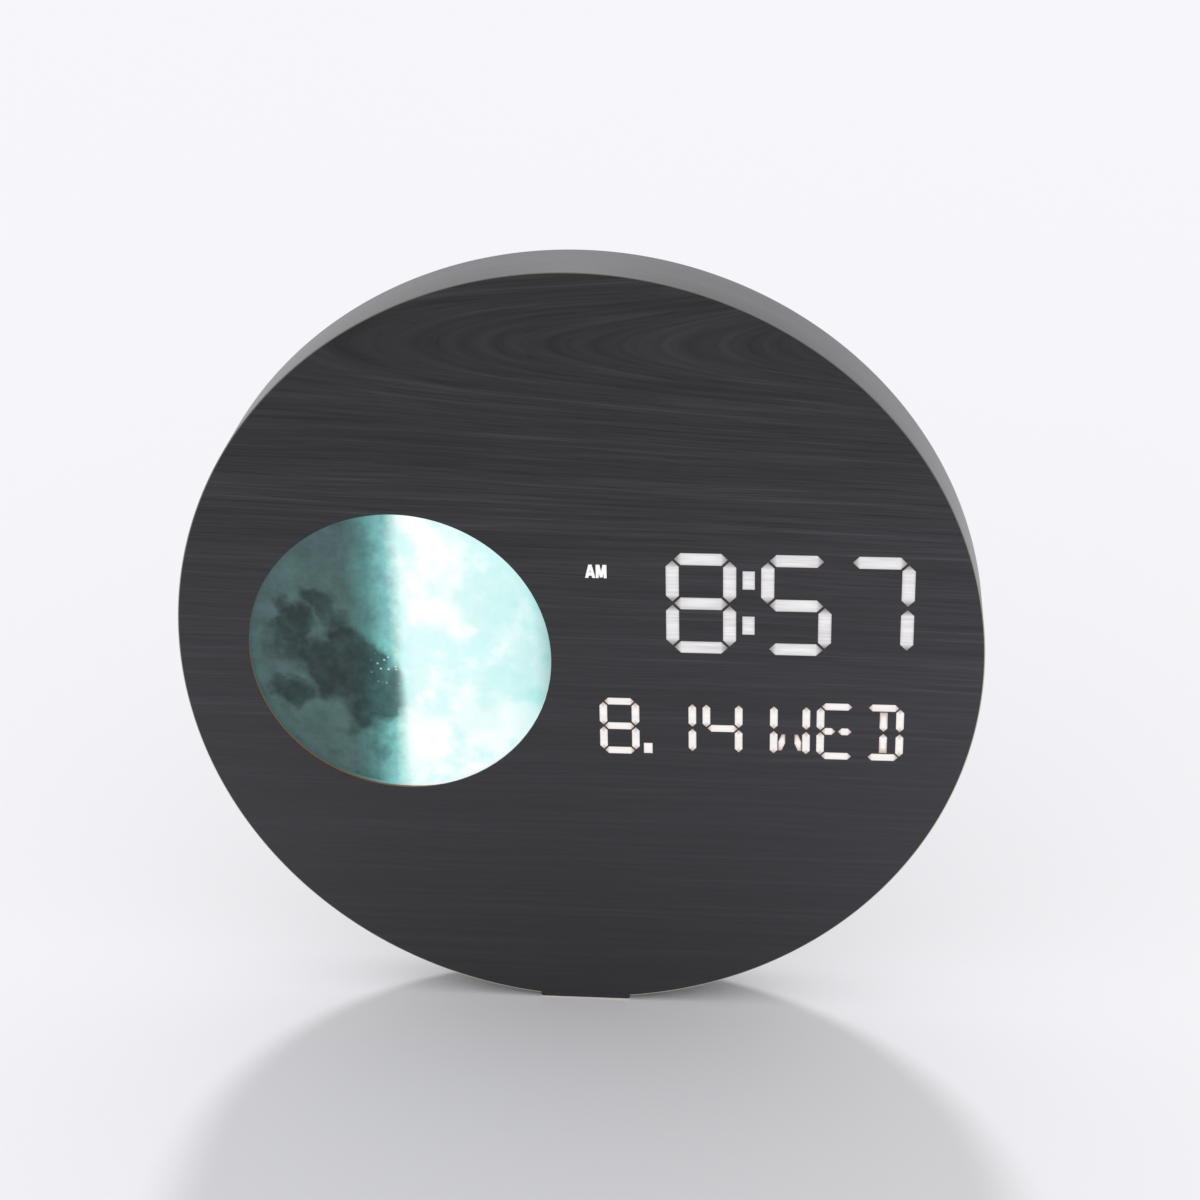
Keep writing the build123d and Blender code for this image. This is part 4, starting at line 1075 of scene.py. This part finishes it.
def pan_head(radius, seat, top):
    """Domed head drawn at the middle of the face, and the cutter for its cross recess."""
    shoulder = top - pan_head_dome
    turns = [radians(angle) for angle in range(0, 90, 10)]
    dome = [(radius * cos(t), shoulder + pan_head_dome * sin(t)) for t in turns]
    head = turned([(0, seat), (radius, seat)] + dome + [(0, top)], pan_head_segments)
    arm, thick = radius * cross_arm_length_share, radius * cross_arm_width_share
    cutter = bmesh.new()
    for wide, tall in ((arm, thick), (thick, arm)):
        made = bmesh.ops.create_cube(cutter, size=2.0)["verts"]
        bmesh.ops.scale(cutter, vec=(wide, cross_depth, tall), verts=made)
        bmesh.ops.translate(cutter, vec=(0, top, 0), verts=made)
        for vertex in made:
            if vertex.co.y < top:
                vertex.co.x *= cross_taper
                vertex.co.z *= cross_taper
    return head, cutter


def cut(target, cutter):
    """One bmesh minus another, by the exact boolean modifier."""
    pair = (("cut_target", target), ("cut_tool", cutter))
    first, second = [add_object(name, mesh_from(name, bm)) for name, bm in pair]
    modifier = first.modifiers.new("cut", "BOOLEAN")
    modifier.operation = "DIFFERENCE"
    modifier.solver = "EXACT"
    modifier.use_self = True
    modifier.object = second
    bpy.context.view_layer.update()
    result = bpy.data.meshes.new_from_object(first.evaluated_get(bpy.context.evaluated_depsgraph_get()))
    for made in (first, second):
        mesh = made.data
        bpy.data.objects.remove(made)
        bpy.data.meshes.remove(mesh)
    return result


def groups_of_screws(node):
    """Middle, head radius and depths of every screw in a node."""
    screws = []
    for corner in corners_of(node):
        for screw in screws:
            if hypot(corner.x - screw[0].x, corner.z - screw[0].z) < screw_reach:
                screw.append(corner)
                break
        else:
            screws.append([corner])
    found = []
    for screw in screws:
        low, high = box_of(screw)
        depths = sorted({round(corner.y, 2) for corner in screw})
        found.append((*middle_of_box(low, high), (high.x - low.x) / 2, depths))
    return found


def add_mesh(bm, mesh):
    bm.from_mesh(mesh)
    bpy.data.meshes.remove(mesh)


def dressed_screws(node, material):
    """Screws with domed heads and cross recesses in place of a node's plain ones."""
    bm = bmesh.new()
    first_turn, next_turn = cross_turns
    for number, (x, z, radius, depths) in enumerate(groups_of_screws(node)):
        tip, seat, top = depths[0], depths[-2], depths[-1]
        turn = Matrix.Rotation(radians(first_turn + next_turn * number), 4, "Y")
        head = cut(*pan_head(radius, seat, top))
        head.transform(Matrix.Translation((x, 0, z)) @ turn)
        add_mesh(bm, head)
        neck = seat - shank_clearance
        profile = [(0, tip), (shank_radius / 2, tip), (shank_radius, tip + shank_point)]
        profile += [(shank_radius, neck), (0, neck)]
        add_mesh(bm, mesh_from("shank", turned(profile, shank_segments, x, z)))
    piece = make_piece(node + "_dressed", bm, [material], smooth_below=30)
    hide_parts(node)


# Buttons


def dressed_button(number):
    """Button with a rounded edge and a shallow dish for the fingertip."""
    node = f"button_{number}"
    low, high = disc_box(node)
    x, z = middle_of_box(low, high)
    flange, top = (high.x - low.x) / 2, high.y
    flange_back = disc_box("back_cover")[0].y - button_clearance
    flange_front = flange_back - button_flange_thickness
    profile = [(0, low.y), (button_stem_radius, low.y), (button_stem_radius, flange_front)]
    profile += [(flange, flange_front), (flange, flange_back), (button_cap_radius, flange_back)]
    edge_radius, edge_depth = button_cap_radius - button_edge_round, top - button_edge_round
    profile += arc(edge_radius, edge_depth, button_edge_round, 0, 90, 6)
    turns = [radians(angle) for angle in range(0, 90, 15)]
    dish = button_cap_radius - button_rim
    profile += [(dish * cos(t), top - button_dish_depth * sin(t)) for t in turns]
    profile += [(0, top - button_dish_depth)]
    shape = turned(profile, button_segments, x, z)
    piece = make_piece(node + "_dressed", shape, [materials["black_plastic"]], body=node)
    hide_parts(node)


# Stage


world_colour = (1.0, 0.995, 1.0, 1.0)
background_colour = from_srgb(247, 247, 251)
floor_colours = ((0.885, 0.885, 0.915, 1.0), (0.90, 0.90, 0.93, 1.0))


def stage_floor():
    bm = bmesh.new()
    bmesh.ops.create_grid(bm, x_segments=1, y_segments=1, size=floor_size / 2)
    floor = add_object("floor", mesh_from("floor", bm))
    paint = Paint("floor_paper", roughness=0.9, specular=0.1)
    drift = paint.noise(paint.node("ShaderNodeTexCoord").outputs["Object"], scale=0.8, detail=1.0)
    paint.set("Base Color", paint.mix(drift, *floor_colours))
    floor.data.materials.append(paint.material)


def key_light():
    """A soft sun from behind and above."""
    key = bpy.data.lights.new("key", "SUN")
    key.energy = key_floor_share * pi / sin(key_height_angle)
    key.angle = key_spread
    lamp = add_object("key", key)
    level = cos(key_height_angle)
    towards = (level * sin(key_side_angle), -level * cos(key_side_angle), -sin(key_height_angle))
    lamp.rotation_mode = "QUATERNION"
    lamp.rotation_quaternion = Vector(towards).to_track_quat("-Z", "Y")


def even_light():
    """Even light from all round, and a pale background where the camera or a reflection sees it."""
    world = bpy.data.worlds.new("studio")
    bpy.context.scene.world = world
    world.use_nodes = True
    nodes, links = world.node_tree.nodes, world.node_tree.links
    nodes.clear()
    light, shown = nodes.new("ShaderNodeBackground"), nodes.new("ShaderNodeBackground")
    light.inputs["Color"].default_value = world_colour
    light.inputs["Strength"].default_value = world_strength
    shown.inputs["Color"].default_value = background_colour
    shown.inputs["Strength"].default_value = 1.0
    rays = nodes.new("ShaderNodeLightPath")
    seen = rays.outputs["Is Camera Ray"]
    for kind in ("Is Glossy Ray", "Is Transmission Ray"):
        either = nodes.new("ShaderNodeMath")
        either.operation = "MAXIMUM"
        links.new(seen, either.inputs[0])
        links.new(rays.outputs[kind], either.inputs[1])
        seen = either.outputs[0]
    blend = nodes.new("ShaderNodeMixShader")
    links.new(seen, blend.inputs["Fac"])
    links.new(light.outputs[0], blend.inputs[1])
    links.new(shown.outputs[0], blend.inputs[2])
    out = nodes.new("ShaderNodeOutputWorld")
    links.new(blend.outputs[0], out.inputs["Surface"])


def place_camera():
    data = bpy.data.cameras.new("camera")
    data.lens = camera_lens
    data.sensor_width = camera_sensor
    camera = add_object("camera", data)
    place, aim = FROM_DISC @ Vector(camera_place), FROM_DISC @ Vector(camera_aim)
    camera.rotation_mode = "QUATERNION"
    facing = (aim - place).to_track_quat("-Z", "Y")
    camera.rotation_quaternion = facing @ Euler((0, 0, camera_roll)).to_quaternion()
    camera.location = place
    bpy.context.scene.camera = camera


place_camera()
face_skin()
rim_skin()
for node in ("cover_screws", "bracket_screws"):
    dressed_screws(node, materials["black_steel"])
dressed_screws("hanger_screws", materials["zinc_steel"])
for number in range(1, 5):
    dressed_button(number)
stage_floor()
key_light()
even_light()
bpy.context.scene.view_settings.view_transform = "Standard"
